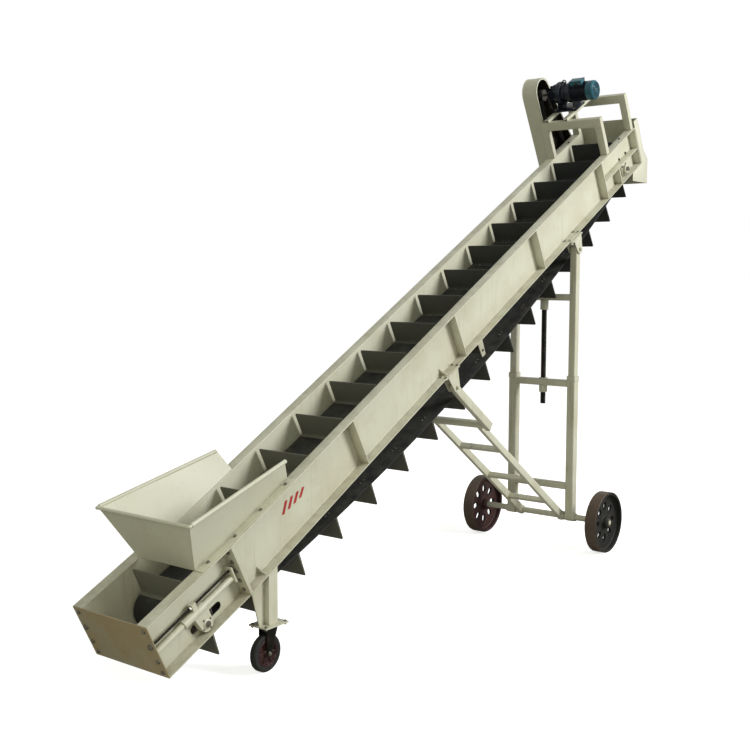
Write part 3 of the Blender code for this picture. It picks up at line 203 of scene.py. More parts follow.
def rings(grid, closed=False):
    """Shell of a grid (rings, points round a ring, 3); its end rings are capped unless closed."""
    rows, cols = grid.shape[:2]
    i, j = np.meshgrid(np.arange(rows if closed else rows - 1), np.arange(cols), indexing="ij")
    below = (i + 1) % rows
    beside = (j + 1) % cols
    quads = np.stack([i * cols + j, i * cols + beside, below * cols + beside, below * cols + j], -1)
    caps = [] if closed else [np.arange(cols)[::-1], (rows - 1) * cols + np.arange(cols)]
    return outward(grid.reshape(-1, 3), quads.reshape(-1, 4), caps)


def slab(outline, low, high, edge=0.001, steps=2, axes=(0, 2, 1)):
    """Outline in the first two axes carried along the third, with rounded rims.

    A rim ring at depth e (1 - cos a) is drawn in by e (1 - sin a).
    """
    outline = counter_clockwise(np.asarray(outline, float))
    a = np.linspace(0.0, math.pi / 2, steps + 1)
    depth = edge * (1.0 - np.cos(a))
    drawn = edge * (1.0 - np.sin(a))
    level = np.concatenate([low + depth, (high - depth)[::-1]])
    drawn = np.concatenate([drawn, drawn[::-1]])
    plane = outline[None] - corner_normals(outline)[None] * drawn[:, None, None]
    grid = np.empty(plane.shape[:2] + (3,))
    grid[..., axes[0]] = plane[..., 0]
    grid[..., axes[1]] = plane[..., 1]
    grid[..., axes[2]] = level[:, None]
    return rings(grid)


def box(s, y, n, edge=0.001, round_edge=None):
    """Box between pairs of limits, all its edges rounded."""
    outline = rounded(rectangle(s[0], s[1], n[0], n[1]), round_edge or edge, 2)
    return slab(outline, min(y), max(y), edge)


def hollow(outer, inner, low, high, axes):
    """Tube between two outlines with equal counts, carried along the third axis."""
    outer = counter_clockwise(np.asarray(outer, float))
    inner = counter_clockwise(np.asarray(inner, float))
    plane = np.stack([outer, outer, inner, inner])
    level = np.array([low, high, high, low])
    grid = np.empty(plane.shape[:2] + (3,))
    grid[..., axes[0]] = plane[..., 0]
    grid[..., axes[1]] = plane[..., 1]
    grid[..., axes[2]] = level[:, None]
    return rings(grid, closed=True)


def turned(profile, centre=(0.0, 0.0, 0.0), axis=1, steps=48, closed=False):
    """Profile of (radius, along) points turned about an axis: (r cos a, r sin a, along)."""
    profile = np.asarray(profile, float)
    a = np.arange(steps) * FULL_TURN / steps
    grid = np.zeros((len(profile), steps, 3))
    u, v = ((1, 2), (2, 0), (0, 1))[axis]
    grid[..., u] = profile[:, :1] * np.cos(a)
    grid[..., v] = profile[:, :1] * np.sin(a)
    grid[..., axis] = profile[:, 1:]
    return rings(grid + np.asarray(centre, float), closed)


def lathe(profile, radius, corner_steps, *place, **turn):
    """Open profile with rounded corners, turned about an axis."""
    return turned(rounded(profile, radius, corner_steps, closed=False), *place, **turn)


def tube(path, radius, steps=8, up=(0.0, 0.0, 1.0)):
    """Round bar along a path: p + r (side cos a + rise sin a), side square to path and up."""
    path = np.asarray(path, float)
    tangent = unit(np.gradient(path, axis=0))
    side = unit(np.cross(tangent, np.asarray(up, float)))
    rise = np.cross(side, tangent)
    a = np.arange(steps) * FULL_TURN / steps
    r = np.broadcast_to(np.asarray(radius, float), len(path))[:, None, None]
    spoke = side[:, None] * np.cos(a)[:, None] + rise[:, None] * np.sin(a)[:, None]
    return rings(path[:, None] + r * spoke)


def soft_path(points, reach, steps=5):
    """Polyline whose inner corners V are curves (1-t)^2 A + 2t(1-t) V + t^2 B."""
    p = np.asarray(points, float)
    v = p[1:-1]
    a = v - unit(v - p[:-2]) * reach
    b = v + unit(p[2:] - v) * reach
    t = np.linspace(0.0, 1.0, steps + 1)[None, :, None]
    curve = (1 - t) ** 2 * a[:, None] + 2 * t * (1 - t) * v[:, None] + t ** 2 * b[:, None]
    return np.concatenate([p[:1], curve.reshape(-1, 3), p[-1:]])


def sheet(surface, thickness):
    """Sheet metal of even thickness round a middle surface grid, its edges closed."""
    across, along = np.gradient(surface, axis=(0, 1))
    normal = unit(np.cross(across, along))
    top = surface + normal * thickness / 2
    low = surface - normal * thickness / 2
    grid = np.concatenate([top, low[:, ::-1]], 1)
    rows, cols = grid.shape[:2]
    k = np.arange(cols // 2 - 1)
    strip = np.stack([k, cols - 1 - k, cols - 2 - k, k + 1], 1)
    ends = [strip, strip[:, ::-1] + (rows - 1) * cols]
    i, j = np.meshgrid(np.arange(rows - 1), np.arange(cols), indexing="ij")
    beside = (j + 1) % cols
    walls = np.stack([i * cols + j, i * cols + beside, (i + 1) * cols + beside, (i + 1) * cols + j], -1)
    return outward(grid.reshape(-1, 3), np.concatenate([walls.reshape(-1, 4)] + ends))


def patch(low, high, steps):
    """Ruled surface between two paths of equal counts."""
    t = np.linspace(0.0, 1.0, steps + 1)[:, None, None]
    return np.asarray(low)[None] * (1 - t) + np.asarray(high)[None] * t


def waved(surface, size, wave):
    """Surface pushed along its normal by size sin(x / wave) sin(z / wave + 1)."""
    across, along = np.gradient(surface, axis=(0, 1))
    normal = unit(np.cross(across, along))
    lift = np.sin(surface[..., 0] / wave) * np.sin(surface[..., 2] / wave + 1.0)
    return surface + normal * (size * lift)[..., None]


def along(start, end, count):
    t = np.linspace(0.0, 1.0, count)[:, None]
    return np.asarray(start, float) * (1 - t) + np.asarray(end, float) * t


def bead(start, end, radius=0.004, up=(0.0, 0.0, 1.0)):
    """Weld bead: a bar whose radius swells as r (1 + 0.16 |sin|) every 5 mm."""
    start = np.asarray(start, float)
    end = np.asarray(end, float)
    size = np.linalg.norm(end - start)
    count = max(int(size / 0.0025), 6)
    t = np.linspace(0.0, 1.0, count)
    swell = radius * (0.9 + 0.22 * np.abs(np.sin(t * size / 0.005 * math.pi / 2)))
    swell[[0, -1]] *= 0.4
    return tube(along(start, end, count), swell, 6, up)


def mitred(shell, mitre, limit):
    """The shell with its points under a limit in x moved by mitre z, to meet another slope."""
    points = shell[0].copy()
    near = points[:, 0] < limit
    points[near, 0] += mitre * points[near, 2]
    return points, shell[1], shell[2]


def placed(shell, frames):
    """The shell repeated at each 4x4 frame, as one shell."""
    frames = np.asarray(frames, float).reshape(-1, 4, 4)
    points, quads, caps = shell
    moved = np.einsum("kij,vj->kvi", frames[:, :3, :3], points) + frames[:, None, :3, 3]
    shift = np.arange(len(frames)) * len(points)
    all_quads = (quads[None] + shift[:, None, None]).reshape(-1, 4)
    all_caps = [cap + k for k in shift for cap in caps]
    if np.linalg.det(frames[0, :3, :3]) < 0.0:
        all_quads = all_quads[:, ::-1]
        all_caps = [cap[::-1] for cap in all_caps]
    return moved.reshape(-1, 3), all_quads, all_caps


def facing(points, direction, seed=0):
    """Frames at the points whose z looks along the direction, turned by seeded angles about it."""
    points = np.atleast_2d(np.asarray(points, float))
    z = unit(np.asarray(direction, float))
    x = unit(np.cross(z, (0.0, 1.0, 0.0) if abs(z[1]) < 0.9 else (1.0, 0.0, 0.0)))
    y = np.cross(z, x)
    a = np.random.default_rng(seed).uniform(0.0, math.pi / 3, len(points))[:, None]
    frames = np.zeros((len(points), 4, 4))
    frames[:, :3, 0] = x * np.cos(a) + y * np.sin(a)
    frames[:, :3, 1] = y * np.cos(a) - x * np.sin(a)
    frames[:, :3, 2] = z
    frames[:, :3, 3] = points
    frames[:, 3, 3] = 1.0
    return frames


def hex_bolt(size=0.011):
    """Washer, chamfered hexagon and crown of a bolt head that stands on z = 0."""
    washer = turned(rounded([(0.0005, 0.0), (size * 1.25, 0.0), (size * 1.25, 0.0022), (0.0005, 0.0022)],
                            0.0004, 1), axis=2, steps=16)
    head = turned([(size, 0.0021), (size, 0.0018 + size * 0.56), (size * 0.87, 0.0018 + size * 0.66)],
                  axis=2, steps=6)
    return [washer, head]


def stud_nut(size=0.011):
    """Washer, nut and the bolt's end through it."""
    stub = turned([(size * 0.48, 0.002), (size * 0.48, size * 1.25), (size * 0.38, size * 1.38)], axis=2,
                  steps=10)
    return hex_bolt(size) + [stub]


def bolts(points, direction, size=0.011, seed=1, nut=False):
    frames = facing(points, direction, seed)
    return [placed(shell, frames) for shell in (stud_nut(size) if nut else hex_bolt(size))]


def thread(start, end, radius, pitch, depth, steps=12, rows=4):
    """Screw thread: r = R - depth |2 frac(along / pitch - a / turn) - 1|."""
    start = np.asarray(start, float)
    end = np.asarray(end, float)
    size = np.linalg.norm(end - start)
    heading = (end - start) / size
    side = unit(np.cross(heading, (0.0, 1.0, 0.0) if abs(heading[1]) < 0.9 else (1.0, 0.0, 0.0)))
    rise = np.cross(heading, side)
    t = np.arange(0.0, size, pitch / rows)
    t = np.append(t, size)
    a = np.arange(steps) * FULL_TURN / steps
    saw = np.mod(t[:, None] / pitch - a / FULL_TURN, 1.0)
    r = radius - depth * np.abs(2.0 * saw - 1.0)
    spoke = side * np.cos(a)[:, None] + rise * np.sin(a)[:, None]
    return rings(start + heading * t[:, None, None] + r[..., None] * spoke)


# Meshes


def piece(name, place, parts, body, replaces=(), crease=32.0):
    """Mesh object of parts = {paint: shells} set in a frame, or already placed, that rides on a body."""
    points, faces, marks, materials = [], [], [], []
    count = 0
    for paint, shells in parts.items():
        materials.append(PAINTS[paint])
        for p, quads, caps in shells if place is None else in_frame(place, shells):
            points.append(p)
            faces += (quads + count).tolist() + [(cap + count).tolist() for cap in caps]
            marks.append(np.full(len(quads) + len(caps), len(materials) - 1, np.int32))
            count += len(p)
    mesh = bpy.data.meshes.new(name)
    mesh.from_pydata(np.concatenate(points), [], faces)
    for mat in materials:
        mesh.materials.append(mat)
    mesh.polygons.foreach_set("material_index", np.concatenate(marks))
    mesh.shade_smooth()
    mesh.set_sharp_from_angle(angle=math.radians(crease))
    obj = bpy.data.objects.new(name, mesh)
    bpy.context.scene.collection.objects.link(obj)
    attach(obj, body)
    if replaces:
        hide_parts(*replaces)
    return obj


def repaint(obj, mat, chosen):
    """Gives a material to the faces whose centres the test picks."""
    mesh = obj.data
    centres = np.empty(len(mesh.polygons) * 3)
    mesh.polygons.foreach_get("center", centres)
    marks = np.empty(len(mesh.polygons), np.int32)
    mesh.polygons.foreach_get("material_index", marks)
    mesh.materials.append(mat)
    marks[chosen(centres.reshape(-1, 3))] = len(mesh.materials) - 1
    mesh.polygons.foreach_set("material_index", marks)


def dress(nodes, mat):
    """Gives CAD nodes a material in place of their plain one."""
    for name in nodes:
        mesh = NODES[name].data
        if not mesh.materials:
            mesh.materials.append(mat)
        for i in range(len(mesh.materials)):
            mesh.materials[i] = mat


# Places


def slope(angle, origin):
    """Frame with x along the slope, y across and z square to it."""
    c, s = math.cos(angle), math.sin(angle)
    out = np.eye(4)
    out[:3, 0] = (c, 0.0, s)
    out[:3, 2] = (-s, 0.0, c)
    out[:3, 3] = origin
    return out


def shifted(x=0.0, y=0.0, z=0.0):
    out = np.eye(4)
    out[:3, 3] = (x, y, z)
    return out


def turned_about_y(angle):
    """Turns x towards z."""
    c, s = math.cos(angle), math.sin(angle)
    out = np.eye(4)
    out[0, 0], out[0, 2], out[2, 0], out[2, 2] = c, -s, s, c
    return out


def to_world(place, points):
    points = np.asarray(points, float)
    return points @ place[:3, :3].T + place[:3, 3]


def in_frame(place, shells):
    return [placed(shell, place) for shell in shells]


class Layout:
    """Slope frames and pivots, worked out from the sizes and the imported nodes."""

    def __init__(self, sizes):
        low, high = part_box("tail_plate")
        plate = 0.006
        origin = (low.x + plate * math.cos(sizes.tail_slope), 0.0, high.z)
        self.x_start = origin[0]
        self.tail = slope(sizes.tail_slope, origin)
        joint = to_world(self.tail, (sizes.tail_length, 0.0, 0.0))
        back = np.array([math.cos(sizes.main_slope), 0.0, math.sin(sizes.main_slope)])
        self.main = slope(sizes.main_slope, joint - back * sizes.tail_length)
        self.half = sizes.inner_width / 2
        self.web = self.half + 0.006
        self.flange = self.half + sizes.flange_reach
        self.height = sizes.side_height
        self.end = sizes.deck_length
        self.drum_n = sizes.drum_rise - sizes.side_height
        self.deck_n = self.drum_n + sizes.drum_radius
        self.brace_pin = to_world(self.main, (3.605, 0.0, -0.568))
        self.leg_pin = to_world(self.main, (6.094, 0.0, -0.546))
        self.axle = np.array([self.leg_pin[0], 0.0, sizes.wheel_radius])
        span = self.axle - self.brace_pin
        self.brace_length = np.linalg.norm(span)
        self.brace = slope(math.atan2(span[2], span[0]), self.brace_pin)
        self.leg = shifted(*self.axle)
        self.slide = shifted(*self.leg_pin)
        self.leg_length = self.leg_pin[2] - self.axle[2]
        self.swivel = np.array([self.x_start + 1.15, -0.31, sizes.caster_radius])


# Node groups


def node(tree, kind, inputs=(), **settings):
    """Adds a node; inputs maps a socket name or index to a value or to another node's socket."""
    made = tree.nodes.new(kind)
    for key, value in settings.items():
        setattr(made, key, value)
    for key, value in dict(inputs).items():
        if isinstance(value, bpy.types.NodeSocket):
            tree.links.new(value, made.inputs[key])
        else:
            made.inputs[key].default_value = value
    return made


def maths(tree, operation, a, b=0.0, clamp=False):
    return node(tree, "ShaderNodeMath", {0: a, 1: b}, operation=operation, use_clamp=clamp).outputs[0]


def times(tree, a, b, clamp=False):
    return maths(tree, "MULTIPLY", a, b, clamp)


def plus(tree, a, b, clamp=False):
    return maths(tree, "ADD", a, b, clamp)


def mixed(tree, factor, a, b, blend="MIX"):
    made = node(tree, "ShaderNodeMix", data_type="RGBA", blend_type=blend)
    for key, value in ((0, factor), (6, a), (7, b)):
        if isinstance(value, bpy.types.NodeSocket):
            tree.links.new(value, made.inputs[key])
        else:
            made.inputs[key].default_value = value
    return made.outputs[2]


def ramped(tree, value, low, high, out_low=0.0, out_high=1.0):
    return node(tree, "ShaderNodeMapRange", {0: value, 1: low, 2: high, 3: out_low, 4: out_high},
                interpolation_type="SMOOTHSTEP").outputs[0]


def group(name, inputs, outputs):
    """Empty node group with named sockets, and its input and output nodes."""
    tree = bpy.data.node_groups.new(name, "ShaderNodeTree")
    for label, kind, default in inputs:
        socket = tree.interface.new_socket(name=label, in_out="INPUT", socket_type="NodeSocket" + kind)
        socket.default_value = default
    for label, kind in outputs:
        tree.interface.new_socket(name=label, in_out="OUTPUT", socket_type="NodeSocket" + kind)
    entry = tree.nodes.new("NodeGroupInput")
    leave = tree.nodes.new("NodeGroupOutput")
    return tree, entry.outputs, leave.inputs


def noise(tree, vector, scale, detail=4.0, rough=0.55):
    return node(tree, "ShaderNodeTexNoise", {"Vector": vector, "Scale": scale, "Detail": detail,
                                             "Roughness": rough}).outputs["Fac"]


def object_place(tree):
    return node(tree, "ShaderNodeTexCoord").outputs["Object"]


def mottle_group():
    """Soft patches: noise between two thresholds."""
    tree, entry, leave = group("mottle", [("Scale", "Float", 3.0), ("From", "Float", 0.45),
                                          ("To", "Float", 0.65)],
                               [("Mask", "Float")])
    value = noise(tree, object_place(tree), entry["Scale"], 6.0, 0.62)
    tree.links.new(ramped(tree, value, entry["From"], entry["To"]), leave["Mask"])
    return tree


def runs_group():
    """Streaks that run straight down: noise stretched along z, broken by a wider noise."""
    tree, entry, leave = group("runs", [("Scale", "Float", 30.0), ("Amount", "Float", 0.5)],
                               [("Mask", "Float")])
    where = object_place(tree)
    long = node(tree, "ShaderNodeMapping", {"Vector": where, "Scale": (1.0, 1.0, 0.06)}).outputs[0]
    streak = ramped(tree, noise(tree, long, entry["Scale"], 3.0, 0.5), 0.52, 0.74)
    wide = ramped(tree, noise(tree, where, 2.2, 3.0, 0.5), 0.42, 0.62)
    both = times(tree, times(tree, streak, wide), entry["Amount"])
    tree.links.new(both, leave["Mask"])
    return tree


def edges_group():
    """Rounded shading normal, and a mask of convex edges broken by noise."""
    tree, entry, leave = group("edges", [("Radius", "Float", 0.003), ("Wear", "Float", 0.5)],
                               [("Normal", "Vector"), ("Mask", "Float")])
    soft = node(tree, "ShaderNodeBevel", {"Radius": entry["Radius"]}, samples=6).outputs[0]
    flat = node(tree, "ShaderNodeNewGeometry").outputs["Normal"]
    turn = node(tree, "ShaderNodeVectorMath", {0: soft, 1: flat}, operation="DOT_PRODUCT").outputs["Value"]
    edge = ramped(tree, maths(tree, "SUBTRACT", 1.0, turn), 0.02, 0.16)
    chips = ramped(tree, noise(tree, object_place(tree), 34.0, 7.0, 0.68), 0.5, 0.62)
    mask = times(tree, times(tree, edge, chips), entry["Wear"], clamp=True)
    tree.links.new(soft, leave["Normal"])
    tree.links.new(mask, leave["Mask"])
    return tree


def dirt_and_shade_group():
    """Mask of corners found by occlusion and of what looks up: dust on top, and grime with painted shade
    where a material darkens the corners.
    """
    tree, entry, leave = group("dirt_and_shade", [("Distance", "Float", 0.05), ("Corners", "Float", 0.6),
                                         ("Settled", "Float", 0.3)], [("Mask", "Float")])
    where = object_place(tree)
    # Occlusion picks the corners where shade falls; materials that darken them paint that shade.
    hidden = node(tree, "ShaderNodeAmbientOcclusion", {"Distance": entry["Distance"]},
                  samples=8).outputs["AO"]
    corner = ramped(tree, maths(tree, "SUBTRACT", 1.0, hidden), 0.3, 0.95)
    rough = ramped(tree, noise(tree, where, 14.0, 6.0, 0.7), 0.3, 0.62, 0.25, 1.0)
    corner = times(tree, times(tree, corner, rough), entry["Corners"])
    normal = node(tree, "ShaderNodeSeparateXYZ",
                  {0: node(tree, "ShaderNodeNewGeometry").outputs["Normal"]}).outputs["Z"]
    top = times(tree, ramped(tree, normal, 0.35, 0.95), entry["Settled"])
    top = times(tree, top, ramped(tree, noise(tree, where, 9.0, 5.0, 0.65), 0.35, 0.7))
    tree.links.new(plus(tree, corner, top, clamp=True), leave["Mask"])
    return tree


def grain_group():
    """Height of a fine grain over a slow ripple."""
    tree, entry, leave = group("grain", [("Scale", "Float", 220.0), ("Ripple", "Float", 0.3)],
                               [("Height", "Float")])
    where = object_place(tree)
    fine = noise(tree, where, entry["Scale"], 3.0, 0.6)
    slow = times(tree, noise(tree, where, 11.0, 2.0, 0.5), entry["Ripple"])
    tree.links.new(plus(tree, fine, slow), leave["Height"])
    return tree


def lower_group():
    """Mask that grows towards the lower edge of a sloping side, 0 at its top edge, which makes it darker
    towards the bottom.
    """
    tree, entry, leave = group("lower", [("Slope", "Float", 0.5), ("Low", "Float", -0.3),
                                         ("High", "Float", 0.0)],
                               [("Mask", "Float")])
    parts = node(tree, "ShaderNodeSeparateXYZ", {0: object_place(tree)}).outputs
    back = times(tree, parts["X"], maths(tree, "SINE", entry["Slope"]))
    up = times(tree, parts["Z"], maths(tree, "COSINE", entry["Slope"]))
    height = maths(tree, "SUBTRACT", up, back)
    ragged = times(tree, noise(tree, object_place(tree), 7.0, 5.0, 0.6), 0.16)
    height = plus(tree, height, ragged)
    tree.links.new(ramped(tree, height, entry["High"], entry["Low"]), leave["Mask"])
    return tree


GROUPS = {}


def effect(tree, name, inputs=()):
    """A shared effect, placed in a material with its own values."""
    if name not in GROUPS:
        GROUPS[name] = {"mottle": mottle_group, "runs": runs_group, "edges": edges_group,
                        "dirt_and_shade": dirt_and_shade_group, "grain": grain_group, "lower": lower_group}[name]()
    made = tree.nodes.new("ShaderNodeGroup")
    made.node_tree = GROUPS[name]
    for key, value in dict(inputs).items():
        made.inputs[key].default_value = value
    return made.outputs


def blank(name):
    mat = bpy.data.materials.new(name)
    mat.use_nodes = True
    return mat, mat.node_tree, mat.node_tree.nodes["Principled BSDF"]


def colour4(values, scale=1.0):
    return (values[0] * scale, values[1] * scale, values[2] * scale, 1.0)


def finish_surface(tree, shader, colour, rough, height, strength, depth, normal=None):
    """Wires colour, roughness and a bump of the height into the shader."""
    tree.links.new(colour, shader.inputs["Base Color"])
    tree.links.new(rough, shader.inputs["Roughness"])
    bump = node(tree, "ShaderNodeBump", {"Strength": strength, "Distance": depth, "Height": height})
    if normal is not None:
        tree.links.new(normal, bump.inputs["Normal"])
    tree.links.new(bump.outputs[0], shader.inputs["Normal"])


def enamel(name, paint, aged, colours, corner_grime_and_shade=0.6, streaks=0.5, wear=0.6, settled=0.25, radius=0.003,
           rough=(0.36, 0.62), aging=0.6, lower=None):
    """Old gloss paint: faded patches, streaks, grime with painted shade in occluded corners, dust on upward
    faces, and rust where edges are worn.
    """
    mat, tree, shader = blank(name)
    fade = effect(tree, "mottle", {"Scale": 2.6, "From": 0.4, "To": 0.66})["Mask"]
    colour = mixed(tree, times(tree, fade, aging), colour4(paint), colour4(aged))
    speck = effect(tree, "mottle", {"Scale": 26.0, "From": 0.56, "To": 0.7})["Mask"]
    colour = mixed(tree, times(tree, speck, 0.1), colour, colour4(colours.grime_and_shade, 2.2))
    run = effect(tree, "runs", {"Scale": 34.0, "Amount": streaks})["Mask"]
    colour = mixed(tree, run, colour, colour4(colours.grime_and_shade, 1.5))
    # Grime by occlusion in the corners, partly real dirt and partly painted shade, and dust on upward
    # faces.
    dirt_and_shade = effect(tree, "dirt_and_shade", {"Distance": 0.06, "Corners": corner_grime_and_shade, "Settled": settled})["Mask"]
    # On the sides the grime colour also darkens the paint towards the lower edge.
    if lower is not None:
        low = effect(tree, "lower", {"Slope": lower[0], "Low": lower[1], "High": lower[2]})["Mask"]
        dirt_and_shade = plus(tree, dirt_and_shade, times(tree, low, lower[3]), clamp=True)
    colour = mixed(tree, dirt_and_shade, colour, colour4(colours.grime_and_shade))
    edge = effect(tree, "edges", {"Radius": radius, "Wear": wear})
    colour = mixed(tree, edge["Mask"], colour, colour4(colours.rust))
    gloss = plus(tree, times(tree, dirt_and_shade, rough[1] - rough[0]), rough[0])
    gloss = plus(tree, gloss, times(tree, edge["Mask"], 0.25), clamp=True)
    height = effect(tree, "grain", {"Scale": 240.0, "Ripple": 1.6})["Height"]
    height = maths(tree, "SUBTRACT", height, times(tree, edge["Mask"], 1.2))
    finish_surface(tree, shader, colour, gloss, height, 0.1, 0.002, edge["Normal"])
    shader.inputs["Coat Roughness"].default_value = 0.25
    shader.inputs["IOR"].default_value = 1.46
    return mat


def rubber(name, base, colours, dusty=0.5, patch_scale=5.0, rough=(0.62, 0.88), grain=160.0, radius=0.002,
           dusted=None, settled=0.1):
    """Rubber with a dry bloom and dust rubbed into it, thicker between two places along x."""
    mat, tree, shader = blank(name)
    bloom = effect(tree, "mottle", {"Scale": patch_scale, "From": 0.36, "To": 0.68})["Mask"]
    scuff = effect(tree, "mottle", {"Scale": 42.0, "From": 0.5, "To": 0.66})["Mask"]
    colour = mixed(tree, times(tree, bloom, dusty), colour4(base), colour4(colours.dust))
    colour = mixed(tree, times(tree, scuff, dusty * 0.4), colour, colour4(colours.dust, 1.3))
    dirt_and_shade = effect(tree, "dirt_and_shade", {"Distance": 0.05, "Corners": 0.35, "Settled": settled})["Mask"]
    colour = mixed(tree, dirt_and_shade, colour, colour4(colours.dust, 0.9))
    if dusted is not None:
        x = node(tree, "ShaderNodeSeparateXYZ", {0: object_place(tree)}).outputs["X"]
        colour = mixed(tree, ramped(tree, x, dusted[0], dusted[1]), colour, colour4(colours.dust, 1.6))
    gloss = plus(tree, times(tree, bloom, rough[1] - rough[0]), rough[0])
    edge = effect(tree, "edges", {"Radius": radius, "Wear": 0.0})
    height = effect(tree, "grain", {"Scale": grain, "Ripple": 0.5})["Height"]
    finish_surface(tree, shader, colour, gloss, height, 0.22, 0.0015, edge["Normal"])
    shader.inputs["IOR"].default_value = 1.5
    return mat


def bare_metal(name, base, colours, rusty=0.5, rough=(0.3, 0.62), metallic=0.85, corner_grime_and_shade=0.5, radius=0.0015):
    """Bare steel under oil, dust and patches of rust, with grime and painted shade in its corners."""
    mat, tree, shader = blank(name)
    patchy = effect(tree, "mottle", {"Scale": 11.0, "From": 0.46, "To": 0.64})["Mask"]
    fine = effect(tree, "mottle", {"Scale": 60.0, "From": 0.45, "To": 0.62})["Mask"]
    rust = times(tree, times(tree, patchy, plus(tree, fine, 0.35)), rusty, clamp=True)
    colour = mixed(tree, times(tree, fine, 0.25), colour4(base), colour4(base, 0.55))
    colour = mixed(tree, rust, colour, colour4(colours.rust, 1.1))
    # Darker grime by occlusion in the corners: partly real dirt, partly painted shade.
    dirt_and_shade = effect(tree, "dirt_and_shade", {"Distance": 0.04, "Corners": corner_grime_and_shade, "Settled": 0.25})["Mask"]
    colour = mixed(tree, dirt_and_shade, colour, colour4(colours.grime_and_shade, 0.7))
    dull = maths(tree, "MAXIMUM", rust, dirt_and_shade)
    gloss = plus(tree, times(tree, dull, rough[1] - rough[0]), rough[0])
    edge = effect(tree, "edges", {"Radius": radius, "Wear": 0.0})
    height = effect(tree, "grain", {"Scale": 300.0, "Ripple": 0.2})["Height"]
    finish_surface(tree, shader, colour, gloss, height, 0.12, 0.001, edge["Normal"])
    metal = times(tree, maths(tree, "SUBTRACT", 1.0, dull, clamp=True), metallic)
    tree.links.new(metal, shader.inputs["Metallic"])
    return mat


PAINTS = {}


def make_paints(colours, lay, sizes):
    """Every material of the conveyor, by name."""
    bottom = to_world(lay.main, (2.0, 0.0, -lay.height))
    height = bottom[2] * math.cos(sizes.main_slope) - bottom[0] * math.sin(sizes.main_slope)
    cream, aged = colours.cream, colours.cream_aged
    pale = colour4(cream, 0.62)
    PAINTS.update({
        "sides": enamel("cream_sides", cream, aged, colours, corner_grime_and_shade=0.6, streaks=0.16, wear=0.12,
                        lower=(sizes.main_slope, height - 0.02, height + 0.26, 0.24)),
        "cream": enamel("cream_enamel", cream, aged, colours, corner_grime_and_shade=0.6, streaks=0.16, wear=0.15),
        "hopper": enamel("cream_hopper", cream, aged, colours, corner_grime_and_shade=0.45, streaks=0.1, wear=0.12, aging=0.3,
                         settled=0.12),
        "frame": enamel("cream_frame", cream, aged, colours, corner_grime_and_shade=0.85, streaks=0.35, wear=0.3, aging=0.8),
        # Tail plate: a darker, browner copy of the cream that paints the shade on the tail plate into its
        # colour.
        "tail": enamel("cream_tail_painted_shade", (0.35, 0.275, 0.15), pale, colours, corner_grime_and_shade=0.8, streaks=0.25, wear=0.3,
                       aging=0.5),
        "weld": enamel("painted_weld", aged, pale, colours, corner_grime_and_shade=0.9, streaks=0.2, wear=0.3, radius=0.001),
        # Guard inside: near-black paint that stands for the shade inside the guard, with grease.
        "inside": enamel("guard_inside_shade_and_grease", (0.03, 0.026, 0.02), (0.016, 0.015, 0.014), colours, corner_grime_and_shade=0.5,
                         streaks=0.2, wear=0.1),
        "deck": bare_metal("polished_bed", colours.steel, colours, rusty=0.35, corner_grime_and_shade=0.6),
        "belt": rubber("dusty_belt", colours.belt, colours, dusty=0.12, settled=0.5),
        "cleat": rubber("cleat_rubber", colours.cleat, colours, dusty=0.16, patch_scale=3.4, grain=120.0,
                        dusted=(lay.x_start + 6.0, lay.x_start + 0.3)),
        "tyre": rubber("caster_rubber", colours.belt, colours, dusty=0.08),
        "vbelt": rubber("drive_belt_rubber", colours.belt, colours, dusty=0.1, rough=(0.45, 0.7)),
        "steel": bare_metal("oily_steel", colours.steel, colours, rusty=0.6),
        "zinc": bare_metal("zinc_bolts", (0.26, 0.25, 0.22), colours, rusty=0.45, rough=(0.34, 0.6)),
        "screw": bare_metal("greased_screw", (0.016, 0.017, 0.016), colours, rusty=0.2, rough=(0.28, 0.5),
                            corner_grime_and_shade=0.5),
        "drum": bare_metal("drum_steel", (0.2, 0.19, 0.17), colours, rusty=0.5),
        "blue": enamel("motor_cover_paint", colours.motor_blue, colour4(colours.motor_blue, 0.6), colours,
                       corner_grime_and_shade=0.25, streaks=0.1, wear=0.15, settled=0.06, radius=0.002, rough=(0.3, 0.6)),
        "navy": enamel("motor_body_paint", colours.motor_navy, colour4(colours.motor_navy, 0.6), colours,
                       corner_grime_and_shade=0.08, streaks=0.05, wear=0.08, settled=0.04, radius=0.0015, rough=(0.34, 0.6)),
        "black": enamel("wheel_black_paint", colours.wheel_black, colour4(colours.wheel_black, 1.8),
                        colours,
                        corner_grime_and_shade=0.03, streaks=0.02, wear=0.08, settled=0.03, rough=(0.72, 0.88)),
        "red": enamel("wheel_red_paint", colours.wheel_red, colour4(colours.wheel_black, 1.5), colours,
                      corner_grime_and_shade=0.08, streaks=0.1, wear=0.2, settled=0.05, rough=(0.66, 0.85)),
        "tread": enamel("wheel_tread_iron", colours.tread, colour4(colours.tread, 0.5), colours,
                        corner_grime_and_shade=0.3, streaks=0.1, wear=0.3, settled=0.1, rough=(0.5, 0.8)),
        "hub": enamel("caster_hub_paint", colours.hub_red, colour4(colours.hub_red, 0.5), colours,
                      corner_grime_and_shade=0.2, streaks=0.1, wear=0.2, settled=0.05, radius=0.002),
        "bars": enamel("painted_bars", colours.bars_red, colour4(colours.bars_red, 0.7), colours,
                       corner_grime_and_shade=0.2, streaks=0.2, wear=0.1, settled=0.05, radius=0.001),
    })


# Operators


class ConveyorStep:
    """Shared parts of the operators: the sizes, colours and layout, and the usual ending."""
    bl_options = {"REGISTER", "UNDO"}

    def execute(self, context):
        sizes = context.scene.conveyor_sizes
        self.build(Layout(sizes), sizes)
        return {"FINISHED"}


